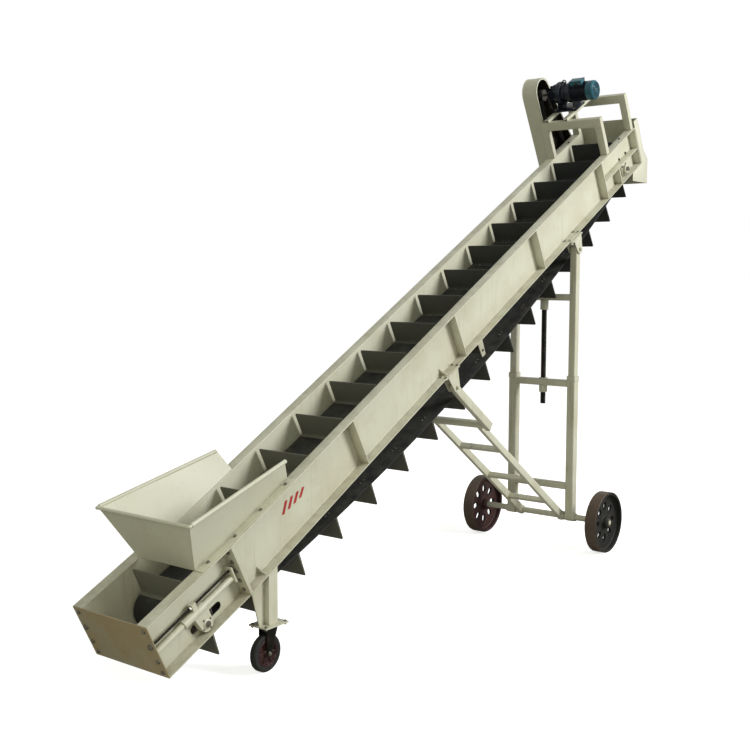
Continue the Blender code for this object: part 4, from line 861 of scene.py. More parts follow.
class CONVEYOR_OT_paints(ConveyorStep, bpy.types.Operator):
    """Makes the paints, rubbers and metals"""
    bl_idname = "conveyor.paints"
    bl_label = "Paints and metals"

    def build(self, lay, sizes):
        make_paints(bpy.context.scene.conveyor_colours, lay, sizes)


RIB_PLACES = (2.303, 3.868, 5.439, 6.963)
GUSSET_PLACES = (1.001, 3.552)
HOPPER_BOLTS = (0.635, 0.915, 1.2, 1.492)
FLANGE = 0.008


class CONVEYOR_OT_sides(ConveyorStep, bpy.types.Operator):
    """Makes the main side channels with their stiffeners, shelves, welds and bolts"""
    bl_idname = "conveyor.sides"
    bl_label = "Side channels"

    def channel(self, lay, side, start, mitre):
        """C section, web inside and flanges outside, carried along the slope."""
        y = side * np.array([lay.half, lay.flange, lay.flange, lay.web, lay.web, lay.flange, lay.flange,
                             lay.half])
        low = -lay.height
        n = [0.0, 0.0, -FLANGE, -FLANGE, low + FLANGE, low + FLANGE, low, low]
        outline = rounded(np.stack([y, n], 1), [0.004, 0.003, 0.003, 0.006, 0.006, 0.003, 0.003, 0.004], 3)
        return mitred(slab(outline, start, lay.end, 0.0008, 1, axes=(1, 2, 0)), mitre, 2.0)

    def plate(self, lay, side, start, end, reach=0.0, low=None, high=None):
        """Plate across the channel, let into its web."""
        low = FLANGE / 2 - lay.height if low is None else low
        high = -FLANGE / 2 if high is None else high
        y = side * np.array([lay.web - 0.003, lay.flange - 0.004 + reach])
        outline = rounded(rectangle(y[0], y[1], low, high), 0.0012, 1)
        return slab(outline, start, end, 0.001, 2, axes=(1, 2, 0))

    def gusset(self, lay, side, place):
        """Three-cornered plate between the web and the bottom flange."""
        low = FLANGE - 0.0005 - lay.height
        y = side * np.array([lay.web - 0.002, lay.flange - 0.016])
        outline = rounded([(y[0], low), (y[1], low), (y[0], low + 0.062)], 0.0012, 1)
        return slab(outline, place - 0.004, place + 0.004, 0.001, 2, axes=(1, 2, 0))

    def hanger(self, lay, side):
        """Plate under the bottom flange that carries the return roller."""
        top = FLANGE / 2 - lay.height
        s, low = 4.19, -0.62
        outline = rounded([(s - 0.045, top), (s + 0.045, top), (s + 0.03, low), (s - 0.03, low)],
                          [0.001, 0.001, 0.012, 0.012], 3)
        y = sorted((side * 0.29, side * 0.298))
        return slab(outline, y[0], y[1], 0.001, 2)

    def side_welds(self, lay, side, places):
        """Beads where the stiffeners meet the web and the flanges."""
        bottom = -lay.height
        welds = []
        for place in places:
            for k in (-1, 1):
                s = place + k * 0.0065
                y = side * (lay.web + 0.001)
                welds.append(bead((s, y, bottom + 0.014), (s, y, -0.014), 0.0035, (0, 1, 0)))
                for n in (bottom + 0.009, -0.009):
                    welds.append(bead((s, side * (lay.web + 0.006), n), (s, side * (lay.flange - 0.008), n),
                                      0.003))
        return welds

    def joint_bolts(self, lay, sizes, side, mitre):
        """Bolts through the two joint plates, heads on the tail side and nuts on the main side."""
        levels = np.array([-0.05, -0.13, -0.21, -0.29, -0.37])
        y = np.full(5, side * (lay.half + 0.052))
        heads = np.stack([sizes.tail_length - 0.0125 - mitre * levels, y, levels], 1)
        nuts = np.stack([sizes.tail_length + 0.0125 + mitre * levels, y, levels], 1)
        return (in_frame(lay.tail, bolts(heads, (-1, 0, 0), 0.013, 3))
                + in_frame(lay.main, bolts(nuts, (1, 0, 0), 0.013, 4, nut=True)))

    def build(self, lay, sizes):
        dress([n for n in NODES if n.startswith("tail_side")], PAINTS["sides"])
        # The tail plate gets the darker cream that paints its shade.
        dress(["tail_plate"], PAINTS["tail"])
        dress(["tail_deck", "main_deck"], PAINTS["deck"])
        mitre = math.tan((sizes.main_slope - sizes.tail_slope) / 2)
        start = sizes.tail_length + 0.00015
        end_plate = lay.end - 0.007
        shelf_n = -0.23
        post = sizes.head_drum - 0.238
        for name, side in SIDES.items():
            shells = [self.channel(lay, side, start, mitre),
                      mitred(self.plate(lay, side, start, start + 0.012, 0.012), mitre, 2.0)]
            shells += [self.plate(lay, side, place - 0.005, place + 0.005)
                       for place in RIB_PLACES + (end_plate,)]
            y = sorted((side * (lay.web - 0.003), side * (lay.flange - 0.006)))
            shells.append(box((RIB_PLACES[-1], end_plate), y, (shelf_n - 0.008, shelf_n), 0.0012))
            shells.append(self.plate(lay, side, post - 0.005, post + 0.005, -0.004, high=shelf_n - 0.003))
            shells += [self.gusset(lay, side, place) for place in GUSSET_PLACES]
            shells.append(self.hanger(lay, side))
            piece("main_channel_" + name, lay.main, {"sides": shells}, "trough",
                  ["main_side_" + name])
            welds = self.side_welds(lay, side, RIB_PLACES + (end_plate,))
            y = side * (lay.web + 0.001)
            welds.append(bead((RIB_PLACES[-1] + 0.008, y, shelf_n + 0.001),
                              (end_plate - 0.008, y, shelf_n + 0.001),
                              0.0035, (0, 1, 0)))
            piece("side_welds_" + name, lay.main, {"weld": welds}, "trough")
            piece("joint_bolts_" + name, None, {"zinc": self.joint_bolts(lay, sizes, side, mitre)},
                  "trough")
        spots = [(-0.006, side * 0.322, n) for side in (-1, 1) for n in (-0.038, -0.29, -0.38)]
        piece("tail_plate_bolts", lay.tail, {"zinc": bolts(spots, (-1, 0, 0), 0.013, 5)}, "trough")
        tops = [(7.57, side * 0.3, 0.0002) for side in (-1, 1)]
        sides = [(s, side * (lay.web + 0.0002), -0.214) for s in (7.52, 7.69) for side in (-1, 1)]
        heads = bolts(tops, (0, 0, 1), 0.01, 6)
        for spot in sides:
            heads += bolts([spot], (0, spot[1], 0), 0.012, 7)
        piece("head_end_bolts", lay.main, {"screw": heads}, "trough")
        bars = []
        for k in range(4):
            low = np.array([1.398 + 0.068 * k, -0.208 - 0.002 * k])
            high = np.array([1.474 + 0.065 * k, -0.136 - 0.009 * k])
            wide = np.array([0.015, -0.004])
            outline = rounded([low - wide, low + wide, high + wide, high - wide], 0.003, 2)
            bars.append(slab(outline, -lay.web - 0.0006, -lay.web + 0.0002, 0.0002, 1))
        piece("painted_bars", lay.main, {"bars": bars}, "trough")


class CONVEYOR_OT_belt(ConveyorStep, bpy.types.Operator):
    """Makes the cleated belt with its fasteners"""
    bl_idname = "conveyor.belt"
    bl_label = "Cleated belt"

    def path(self, lay, sizes):
        """Inner belt face as x, z, normal x and z: bed, half turn, sag 4 h t (1 - t), half turn."""
        gap = 0.0003
        radius = (sizes.drum_radius + gap) * 1.0024
        wrap = math.pi - math.atan(4 * sizes.belt_sag / (sizes.head_drum - sizes.tail_drum))
        tail_c = to_world(lay.tail, (sizes.tail_drum, 0.0, lay.drum_n))[[0, 2]]
        head_c = to_world(lay.main, (sizes.head_drum, 0.0, lay.drum_n))[[0, 2]]
        deck = lay.deck_n + gap

        def run(place, s0, s1, count):
            s = np.linspace(s0, s1, count)
            points = to_world(place, np.stack([s, 0 * s, 0 * s + deck], 1))[:, [0, 2]]
            return points, np.broadcast_to(place[[0, 2], 2], (count, 2))

        def half_turn(centre, start):
            a = start - np.linspace(0.0, wrap, 49)
            normal = np.stack([np.cos(a), np.sin(a)], 1)
            return centre + normal * radius, normal

        first = run(lay.tail, sizes.tail_drum, sizes.tail_length - 0.03, 16)
        second = run(lay.main, sizes.tail_length + 0.03, sizes.head_drum - 0.004, 240)
        head = half_turn(head_c, math.pi / 2 + sizes.main_slope)
        tail = half_turn(tail_c, math.pi / 2 + sizes.tail_slope + wrap)
        t = np.linspace(0.0, 1.0, 262)[1:-1, None]
        start, end = head[0][-1], tail[0][0]
        chord = end - start
        square = unit(np.array([chord[1], -chord[0]]))
        square = square if square[1] < 0 else -square
        curve = start + chord * t + square * (sizes.belt_sag * 4 * t * (1 - t))
        turn = chord + square * (sizes.belt_sag * 4 * (1 - 2 * t))
        down = unit(np.stack([turn[:, 1], -turn[:, 0]], 1))
        down = np.where(down[:, 1:] > 0, -down, down)
        parts = [first, second, head, (curve, down), (tail[0][:-1], tail[1][:-1])]
        return np.concatenate([p for p, _ in parts]), np.concatenate([n for _, n in parts])

    def build(self, lay, sizes):
        points, normals = self.path(lay, sizes)
        half = sizes.belt_width / 2
        section = rounded(rectangle(-half, half, 0.0, sizes.belt_thickness), 0.0022, 2)
        section = np.concatenate([section[:6],
                                  [(half * k, sizes.belt_thickness) for k in (0.6, 0.2, -0.2, -0.6)],
                                  section[6:], [(half * k, 0.0) for k in (-0.6, -0.2, 0.2, 0.6)]])
        section = np.unique(np.round(section, 7), axis=0)
        angle = np.arctan2(section[:, 1] - sizes.belt_thickness / 2, section[:, 0] / 60)
        section = section[np.argsort(angle)]
        grid = np.empty((len(points), len(section), 3))
        grid[..., 0] = points[:, :1] + normals[:, :1] * section[:, 1]
        grid[..., 2] = points[:, 1:] + normals[:, 1:] * section[:, 1]
        grid[..., 1] = section[:, 0]
        band = rings(grid, closed=True)

        frames, level = self.cleat_places(points, normals, sizes)
        w = sizes.cleat_width / 2
        low = sizes.belt_thickness
        high = -lay.deck_n - 0.014
        outline = rounded([(-w, low - 0.002), (w, low - 0.002), (w, high), (-w, high)],
                          [0.001, 0.001, 0.012, 0.012], 4)
        p, quads, caps = slab(outline, -0.01, 0.01, 0.002, 2, axes=(1, 2, 0))
        p[:, 0] *= 0.98 - 0.58 * np.clip((p[:, 2] - low) / (high - low), 0.0, 1.0)
        plate = (p, quads, caps)
        foot = slab(rounded([(-0.034, low - 0.001), (0.034, low - 0.001), (0.032, low + 0.004),
                             (0.012, low + 0.008), (0.0105, low + 0.02), (-0.0105, low + 0.02),
                             (-0.012, low + 0.008), (-0.032, low + 0.004)], 0.0015, 1),
                    -w + 0.003, w - 0.003, 0.0015, 1)
        spots = [(a, y) for a in (-0.022, 0.022) for y in (-0.153, 0.153)]
        rivets = bolts([(a, y, low + 0.0046) for a, y in spots], (0, 0, 1), 0.006, 7)
        plates = bolts([(a, y, -0.0002) for a, y in spots], (0, 0, -1), 0.008, 8)
        piece("belt_with_cleats", None, {"belt": [band],
                                         "cleat": [placed(plate, frames), placed(foot, frames)],
                                         "zinc": [placed(shell, frames) for shell in rivets]}, "trough",
              ["cleated_belt"])
        below = frames[level < -0.5]
        piece("belt_fasteners", None, {"zinc": [placed(shell, below) for shell in plates]}, "trough")

    def cleat_places(self, points, normals, sizes):
        """Frames of the cleats, evenly spaced round the loop, and how far each points upward."""
        far = np.concatenate([points, points[:1]])
        reach = np.concatenate([[0.0], np.cumsum(np.linalg.norm(np.diff(far, axis=0), axis=1))])
        total = reach[-1]
        count = int(total / sizes.cleat_pitch)
        where = np.mod(sizes.first_cleat - sizes.tail_drum + np.arange(count) * total / count, total)
        turns = np.concatenate([normals, normals[:1]])
        n = unit(np.stack([np.interp(where, reach, turns[:, k]) for k in (0, 1)], 1))
        frames = np.zeros((count, 4, 4))
        frames[:, 0, 0], frames[:, 2, 0] = n[:, 1], -n[:, 0]
        frames[:, 1, 1] = 1.0
        frames[:, 0, 2], frames[:, 2, 2] = n[:, 0], n[:, 1]
        frames[:, 0, 3] = np.interp(where, reach, far[:, 0])
        frames[:, 2, 3] = np.interp(where, reach, far[:, 1])
        frames[:, 3, 3] = 1.0
        return frames, n[:, 1]


class CONVEYOR_OT_hopper(ConveyorStep, bpy.types.Operator):
    """Makes the loading hopper of bent sheet with a rolled rim"""
    bl_idname = "conveyor.hopper"
    bl_label = "Loading hopper"

    def build(self, lay, sizes):
        foot_n = 0.0023
        to_tail = np.linalg.inv(lay.tail)
        back = to_world(to_tail, to_world(lay.main, (1.56, 0.0, foot_n)))
        knee = to_world(to_tail, to_world(lay.main, (sizes.tail_length, 0.0, foot_n + 0.0002)))
        front_top = np.array([0.52, 0.45, 0.417])
        back_top = np.array([1.537, 0.342, 0.213])
        shells, welds = [], []
        mirror = np.array([1.0, -1.0, 1.0])
        foot_y = 0.276
        s = np.linspace(0.54, back[0], 41)
        base = np.stack([s, np.full(41, foot_y),
                         np.interp(s, [0.54, knee[0], back[0]], [foot_n, knee[2], back[2]])], 1)
        rim = along(front_top, back_top, 41)
        wall = waved(patch(base, rim, 12), 0.0016, 0.11)
        edge = base.copy()
        edge[:, 1] = 0.35
        foot = patch(base, edge, 3)
        front = patch(along(base[0], base[0] * mirror, 31), along(front_top, front_top * mirror, 31), 12)
        front = waved(front, 0.0018, 0.09)
        lip = np.array([-0.004, 0.01, 0.0])
        for side in (np.ones(3), mirror):
            shells += [sheet(wall * side, 0.004), sheet(foot * side, 0.004)]
            welds.append(bead(base[0] * side, front_top * side, 0.0035))
        shells.append(sheet(front, 0.004))
        corner = front_top + lip + np.array([-0.006, 0.0, 0.0])
        drop = np.array([0.0, 0.006, -0.01])
        side_path = [back_top + drop, front_top + drop + np.array([0.012, 0, 0])]
        rim_bars = [tube(along(*(np.array(side_path) * m), 24), 0.0155, 14) for m in (np.ones(3), mirror)]
        ahead = front_top + np.array([-0.008, -0.004, -0.007])
        rim_bars.append(tube(along(ahead, ahead * mirror, 40), 0.0115, 12))
        ends = []
        for m in (np.ones(3), mirror):
            curl = soft_path(np.array([side_path[1], corner + np.array([0, 0, -0.008]), ahead]) * m,
                             0.012, 6)
            ends.append(tube(curl, 0.0115, 12))
        spots = [(place, side * 0.318, foot_n + 0.0022) for place in HOPPER_BOLTS[1:] for side in (-1, 1)]
        heads = in_frame(lay.main, bolts(spots, (0, 0, 1), 0.0115, 9))
        first = [(HOPPER_BOLTS[0], side * 0.318, foot_n + 0.0022) for side in (-1, 1)]
        heads += in_frame(lay.tail, bolts(first, (0, 0, 1), 0.0115, 10))
        piece("hopper_sheets", lay.tail, {"hopper": shells + rim_bars + ends, "weld": welds}, "trough",
              ["hopper"])
        piece("hopper_bolts", None, {"zinc": heads}, "trough")


class CONVEYOR_OT_drums(ConveyorStep, bpy.types.Operator):
    """Makes the lagged drums and their shafts, the bearings and the return roller"""
    bl_idname = "conveyor.drums"
    bl_label = "Drums and rollers"

    def build(self, lay, sizes):
        r = sizes.drum_radius
        half = 0.255
        shaft = 0.0225
        for name, place, s, left in (("tail_drum", lay.tail, sizes.tail_drum, 0.345),
                                     ("head_drum", lay.main, sizes.head_drum, 0.47)):
            profile = rounded([(0.001, -0.345), (shaft, -0.345), (shaft, -half + 0.015),
                               (r - 0.01, -half + 0.015),
                               (r - 0.01, -half), (r, -half), (r, half), (r - 0.01, half),
                               (r - 0.01, half - 0.015),
                               (shaft, half - 0.015), (shaft, left), (0.001, left)], 0.0012, 2,
                              closed=False)
            drum = turned(profile, (s, 0.0, lay.drum_n), steps=96)
            piece(name + "_turned", place, {"drum": [drum]}, "trough", [name])
        end = 0.31
        profile = rounded([(0.001, -end), (0.01, -end), (0.01, -0.275), (0.03, -0.275), (0.03, 0.275),
                           (0.01, 0.275), (0.01, end), (0.001, end)], 0.001, 2, closed=False)
        piece("return_roller_tube", lay.main, {"steel": [turned(profile, (4.19, 0.0, -0.56))]}, "trough",
              ["return_roller"])
        dress(["head_bearing_near", "head_bearing_far"], PAINTS["cream"])
        spots = []
        for side in SIDES.values():
            for a in (-0.044, 0.044):
                for b in (-0.044, 0.044):
                    spots.append((side, (sizes.head_drum + a, side * (lay.web + 0.016), lay.drum_n + b)))
        heads = []
        for side in SIDES.values():
            where = [p for k, p in spots if k == side]
            heads += bolts(where, (0, side, 0), 0.01, 11, nut=True)
        piece("head_bearing_nuts", lay.main, {"zinc": heads}, "trough")


class CONVEYOR_OT_take_up(ConveyorStep, bpy.types.Operator):
    """Makes the tail take-up: threaded screws, nuts and greased guides"""
    bl_idname = "conveyor.take_up"
    bl_label = "Take-up"

    def build(self, lay, sizes):
        dress([n for n in NODES if n.startswith(("takeup_guide", "takeup_block"))], PAINTS["cream"])
        for name, side in SIDES.items():
            y = side * 0.32
            screw = thread((-0.02, y, -0.165), (0.79, y, -0.165), 0.009, 0.004, 0.0011, 12, 4)
            nut = [turned([(0.0175, -0.006 - 0.0145), (0.0178, -0.006 - 0.013), (0.0178, -0.0065)],
                          (0, y, -0.165),
                          axis=0, steps=6)]
            nut += [turned([(0.0165, s), (0.0168, s + 0.001), (0.0168, s + 0.012), (0.0155, s + 0.014)],
                           (0, y, -0.165), axis=0, steps=6) for s in (0.354, 0.772)]
            washer = [turned([(0.021, -0.0088), (0.021, -0.0063)], (0, y, -0.165), axis=0, steps=24)]
            piece("takeup_thread_" + name, lay.tail, {"screw": [screw], "zinc": nut + washer}, "trough",
                  ["takeup_screw_" + name])
            face = side * (0.32 + 0.012)
            cover = lathe([(0.001, 0.0), (0.034, 0.0), (0.034, 0.004), (0.026, 0.01), (0.001, 0.01)],
                          0.0015, 2, axis=2, steps=40)
            frames = facing([(sizes.tail_drum, face - side * 0.001, lay.drum_n)], (0, side, 0))
            ring = [placed(cover, frames)]
            a = np.arange(4) * math.pi / 2 + 0.4
            where = np.stack([sizes.tail_drum + 0.044 * np.cos(a), np.full(4, face),
                              lay.drum_n + 0.044 * np.sin(a)], 1)
            heads = bolts(where, (0, side, 0), 0.006, 12)
            piece("takeup_cover_" + name, lay.tail, {"cream": ring, "zinc": heads}, "trough")


MOTOR_PLACE = (7.47, 0.6)
RAIL_TOP = 0.4306


class CONVEYOR_OT_motor(ConveyorStep, bpy.types.Operator):
    """Makes the geared motor: finned body, grilled fan cover, terminal box and gear case"""
    bl_idname = "conveyor.motor"
    bl_label = "Geared motor"

    def finned_body(self, radius, y0, y1, fins=44, tall=0.015):
        """Body r = root + tall * fin(a), a narrow pulse every turn / fins."""
        a = np.arange(fins * 8) * FULL_TURN / (fins * 8)
        pulse = np.tile([0.0, 0.0, 0.0, 0.0, 0.15, 1.0, 1.0, 0.15], fins)
        y = np.array([y0, y0 + 0.002, y1 - 0.002, y1])
        lift = np.array([0.0, 1.0, 1.0, 0.0])
        r = radius - tall + tall * pulse * lift[:, None]
        return rings(np.stack([r * np.cos(a), np.broadcast_to(y[:, None], r.shape), r * np.sin(a)], -1))

    def build(self, lay, sizes):
        s, n = MOTOR_PLACE
        r = sizes.motor_radius
        place = lay.main @ shifted(s, 0.0, n)
        fan_end = -0.21
        body = [self.finned_body(r, fan_end + 0.088, 0.066)]
        shield = rounded([(0.001, 0.062), (r - 0.004, 0.062), (r + 0.006, 0.07), (r + 0.006, 0.1),
                          (0.09, 0.11),
                          (0.001, 0.11)], 0.002, 2, closed=False)
        seat = rounded([(0.001, fan_end + 0.066), (r - 0.006, fan_end + 0.066),
                        (r - 0.006, fan_end + 0.092),
                        (0.001, fan_end + 0.092)], 0.001, 1, closed=False)
        body += [turned(shield), turned(seat)]
        gear = rounded([(0.001, 0.108), (0.086, 0.108), (0.088, 0.126), (0.084, 0.134), (0.084, 0.16),
                        (0.122, 0.166), (0.122, 0.214), (0.112, 0.222), (0.094, 0.24), (0.082, 0.305),
                        (0.048, 0.332), (0.036, 0.343), (0.001, 0.343)], 0.004, 3, closed=False)
        a = np.arange(8) * FULL_TURN / 8 + 0.2
        ribs = []
        for turn in a:
            rib = box((0.06, 0.1), (0.218, 0.3), (-0.003, 0.003), 0.0012)
            ribs.append(placed(rib, turned_about_y(turn)))
        shaft = lathe([(0.001, 0.34), (0.014, 0.34), (0.014, 0.455), (0.001, 0.455)], 0.001, 1)
        top = RAIL_TOP - n
        foot = [box((-0.11, 0.11), (0.01, 0.3), (top, top + 0.018), 0.002)]
        web = rounded([(-0.095, top + 0.012), (0.095, top + 0.012), (0.062, 0.0), (-0.062, 0.0)], 0.003, 2)
        foot += [slab(web, y, y + 0.014, 0.002) for y in (0.035, 0.215)]
        foot_bolts = [(x, y, top + 0.018) for x in (-0.085, 0.085) for y in (0.045, 0.265)]
        heads = bolts(foot_bolts, (0, 0, 1), 0.012, 13)
        ring = np.stack([0.111 * np.cos(a), np.full(8, 0.221), 0.111 * np.sin(a)], 1)
        heads += bolts(ring, (0, 1, 0), 0.008, 14)
        eye = turned(np.stack([0.02 + 0.006 * np.cos(a), 0.006 * np.sin(a)], 1), (0.0, 0.135, r + 0.02),
                     axis=0, steps=24, closed=True)
        eye_foot = turned([(0.01, r - 0.016), (0.01, r + 0.004)], (0.0, 0.135, 0.0), axis=2, steps=12)
        piece("motor_finned", place, {"navy": body + foot + [turned(gear)] + ribs,
                                      "screw": [eye, eye_foot], "steel": [shaft], "zinc": heads},
              "trough", ["motor"])

        rim = r + 0.001
        skin = rounded([(rim - 0.004, fan_end + 0.085), (rim, fan_end + 0.085), (rim, fan_end + 0.016),
                        (rim - 0.016, fan_end), (0.08, fan_end), (0.08, fan_end + 0.003),
                        (rim - 0.017, fan_end + 0.003),
                        (rim - 0.004, fan_end + 0.018)], 0.0015, 2)
        cover = [turned(skin, steps=64, closed=True)]
        for radius in np.linspace(0.014, 0.08, 8):
            bar = rounded(rectangle(radius - 0.0022, radius + 0.0022, fan_end + 0.0002, fan_end + 0.0032),
                          0.0008, 1)
            cover.append(turned(bar, steps=40, closed=True))
        spoke = box((0.004, 0.082), (fan_end + 0.0008, fan_end + 0.004), (-0.003, 0.003), 0.0008)
        cover += [placed(spoke, turned_about_y(k * FULL_TURN / 6)) for k in range(6)]
        cover.append(lathe([(0.001, fan_end), (0.012, fan_end), (0.012, fan_end + 0.004),
                            (0.001, fan_end + 0.004)], 0.001, 1, steps=24))
        blades = [placed(box((0.01, 0.076), (fan_end + 0.016, fan_end + 0.05), (-0.0015, 0.0015), 0.0006),
                         turned_about_y(k * FULL_TURN / 9)) for k in range(9)]
        dark = turned([(0.001, fan_end + 0.052), (0.09, fan_end + 0.052), (0.09, fan_end + 0.056),
                       (0.001, fan_end + 0.056)])
        screws = np.stack([(rim - 0.001) * np.cos(a[::2]), np.full(4, fan_end + 0.072),
                           (rim - 0.001) * np.sin(a[::2])], 1)
        heads = []
        for spot in screws:
            heads += bolts([spot], (spot[0], 0, spot[2]), 0.0045, 15)
        piece("motor_fan_grille", place, {"blue": cover, "navy": blades + [dark], "zinc": heads},
              "trough", ["motor_fan_cover"])

        low, high = r - 0.034, r + 0.031
        lid = high - 0.012
        case = slab(rounded(rectangle(-0.048, 0.048, -0.082, 0.058), 0.01, 4), low, lid - 0.0015, 0.002, 2,
                    (0, 1, 2))
        cap = slab(rounded(rectangle(-0.051, 0.051, -0.085, 0.061), 0.011, 4), lid, high, 0.004, 3,
                   (0, 1, 2))
        seal = slab(rounded(rectangle(-0.046, 0.046, -0.08, 0.056), 0.009, 4), lid - 0.002, lid + 0.001,
                    0.0005, 1, (0, 1, 2))
        corners = [(x, y, high - 0.0008) for x in (-0.04, 0.04) for y in (-0.073, 0.049)]
        screws = bolts(corners, (0, 0, 1), 0.005, 16)
        gland = [lathe([(0.001, 0.0), (0.014, 0.0), (0.014, 0.012), (0.011, 0.014), (0.011, 0.024),
                        (0.001, 0.024)], 0.001, 1, axis=2, steps=12)]
        gland = [placed(g, facing([(-0.048, -0.05, low + 0.03), (-0.048, -0.01, low + 0.03)], (-1, 0, 0)))
                 for g in gland]
        piece("terminal_case", place, {"blue": [case, cap], "vbelt": [seal] + gland, "zinc": screws},
              "trough", ["terminal_box"])


PORTALS = (("motor_portal_low", 7.15), ("motor_portal_high", 7.795))
GUARD_TOP = (7.395, 0.655)
GUARD_RADII = (0.155, 0.325)
GUARD_Y = (0.3653, 0.535)


class CONVEYOR_OT_drive(ConveyorStep, bpy.types.Operator):
    """Makes the motor stand, the grooved sheaves, three V belts and the open-backed guard"""
    bl_idname = "conveyor.drive"
    bl_label = "Drive and stand"

    def portal(self, lay, s):
        """Bent portal: a front plate and the two walls that run round its outer and inner edges."""
        top, bar, leg, wall, depth, seat = 0.4, 0.09, 0.075, 0.006, 0.06, 0.0003
        o, i = lay.half + leg, lay.half

        def strip(y, n, thick):
            return [(-y, seat), (-y, n), (y, n), (y, seat), (y - thick, seat), (y - thick, n - thick),
                    (thick - y, n - thick), (thick - y, seat)]

        front = [(-o, seat), (-o, top), (o, top), (o, seat), (i, seat), (i, top - bar), (-i, top - bar),
                 (-i, seat)]
        return [slab(front, s, s + wall, 0.0015, 2, axes=(1, 2, 0)),
                slab(strip(o - 0.0002, top - 0.0002, wall), s + 0.002, s + depth, 0.0015, 2,
                     axes=(1, 2, 0)),
                slab(strip(i + wall + 0.0002, top - bar + wall + 0.0002, wall), s + 0.002, s + depth,
                     0.0015, 2,
                     axes=(1, 2, 0))]

    def stand(self, lay):
        for name, s in PORTALS:
            piece(name + "_bent", lay.main, {"cream": self.portal(lay, s)}, "trough", [name])
        low, wide, thick = 0.4003, 0.05, 0.005
        for name, y in (("near", 0.02), ("far", 0.24)):
            outline = [(y, low), (y + wide, low), (y + wide, low + thick), (y + thick, low + thick),
                       (y + thick, RAIL_TOP - thick), (y + wide, RAIL_TOP - thick), (y + wide, RAIL_TOP),
                       (y, RAIL_TOP)]
            rail = slab(rounded(outline, 0.0015, 2), PORTALS[0][1], PORTALS[1][1] + 0.06, 0.001, 1,
                        (1, 2, 0))
            piece("motor_rail_bar_" + name, lay.main, {"cream": [rail]}, "trough",
                  ["motor_rail_" + name])
        spots = [(s + 0.03, y, RAIL_TOP) for _, s in PORTALS for y in (0.046, 0.266)]
        piece("stand_bolts", lay.main, {"zinc": bolts(spots, (0, 0, 1), 0.011, 18)}, "trough")
        welds = []
        for _, s in PORTALS:
            for side in (-1, 1):
                for y in (0.272, 0.343):
                    welds.append(bead((s + 0.002, side * y, 0.002), (s + 0.058, side * y, 0.002), 0.0035))
                welds.append(bead((s - 0.001, side * 0.274, 0.002), (s - 0.001, side * 0.342, 0.002),
                                  0.0035))
        piece("stand_welds", lay.main, {"weld": welds}, "trough")

    def sheaves(self, lay, sizes):
        low = (sizes.head_drum, lay.drum_n)
        grooves = (0.409, 0.425, 0.441)
        for name, centre, radius, bore in (("drive_sheave", MOTOR_PLACE, 0.06, 0.0145),
                                           ("driven_sheave", low, 0.19, 0.023)):
            profile = [(bore, 0.4), (radius, 0.4)]
            for y in grooves:
                profile += [(radius, y - 0.0068), (radius - 0.012, y - 0.0035),
                            (radius - 0.012, y + 0.0035),
                            (radius, y + 0.0068)]
            profile += [(radius, 0.45), (bore, 0.45)]
            wheel = turned(profile, (centre[0], 0.0, centre[1]), steps=72, closed=True)
            piece(name + "_grooved", lay.main, {"steel": [wheel]}, "trough", [name])
        belts = []
        for y in grooves:
            outer = two_circles(MOTOR_PLACE, 0.0605, low, 0.1905, 32)
            inner = two_circles(MOTOR_PLACE, 0.05, low, 0.18, 32)
            belts.append(hollow(outer, inner, y - 0.0045, y + 0.0045, (0, 2, 1)))
        piece("v_belts", lay.main, {"vbelt": belts}, "trough", ["drive_belt"])

    def guard(self, lay, sizes):
        """Sheet band and outer plate round both sheaves, its inside open to the frame and lined with a dark
        sheet of painted shade and grease.
        """
        low = (sizes.head_drum, lay.drum_n)

        def outline(drawn):
            return two_circles(GUARD_TOP, GUARD_RADII[0] - drawn, low, GUARD_RADII[1] - drawn, 36)

        y0, y1 = GUARD_Y
        skin = [hollow(outline(0.0), outline(0.0025), y0, y1 - 0.003, (0, 2, 1)),
                slab(outline(0.0), y1 - 0.0035, y1, 0.001, 1)]
        seam = outline(0.0)
        seam = np.concatenate([seam, seam[:1]])
        skin.append(tube(np.stack([seam[:, 0], np.full(len(seam), y1 - 0.002), seam[:, 1]], 1), 0.0025, 6,
                         (0, 1, 0)))
        skin.append(hollow(outline(0.0), outline(0.019), y0, y0 + 0.003, (0, 2, 1)))
        # Dark lining inside the band and plate: painted shade inside the guard, with grease.
        shade_lining = [hollow(outline(0.003), outline(0.0045), y0 + 0.0035, y1 - 0.0045, (0, 2, 1)),
                  slab(outline(0.0035), y1 - 0.006, y1 - 0.004, 0.0005, 1)]
        piece("guard_sheets", lay.main, {"cream": skin, "inside": shade_lining}, "trough",
              ["belt_guard"])

    def chute(self, lay):
        """Two cheeks from the deck's end downward and the apron bent before them, in world x and z."""
        sheet_y, t = lay.flange, 0.004

        def spot(s, n):
            return to_world(lay.main, (s, 0.0, n))[[0, 2]]

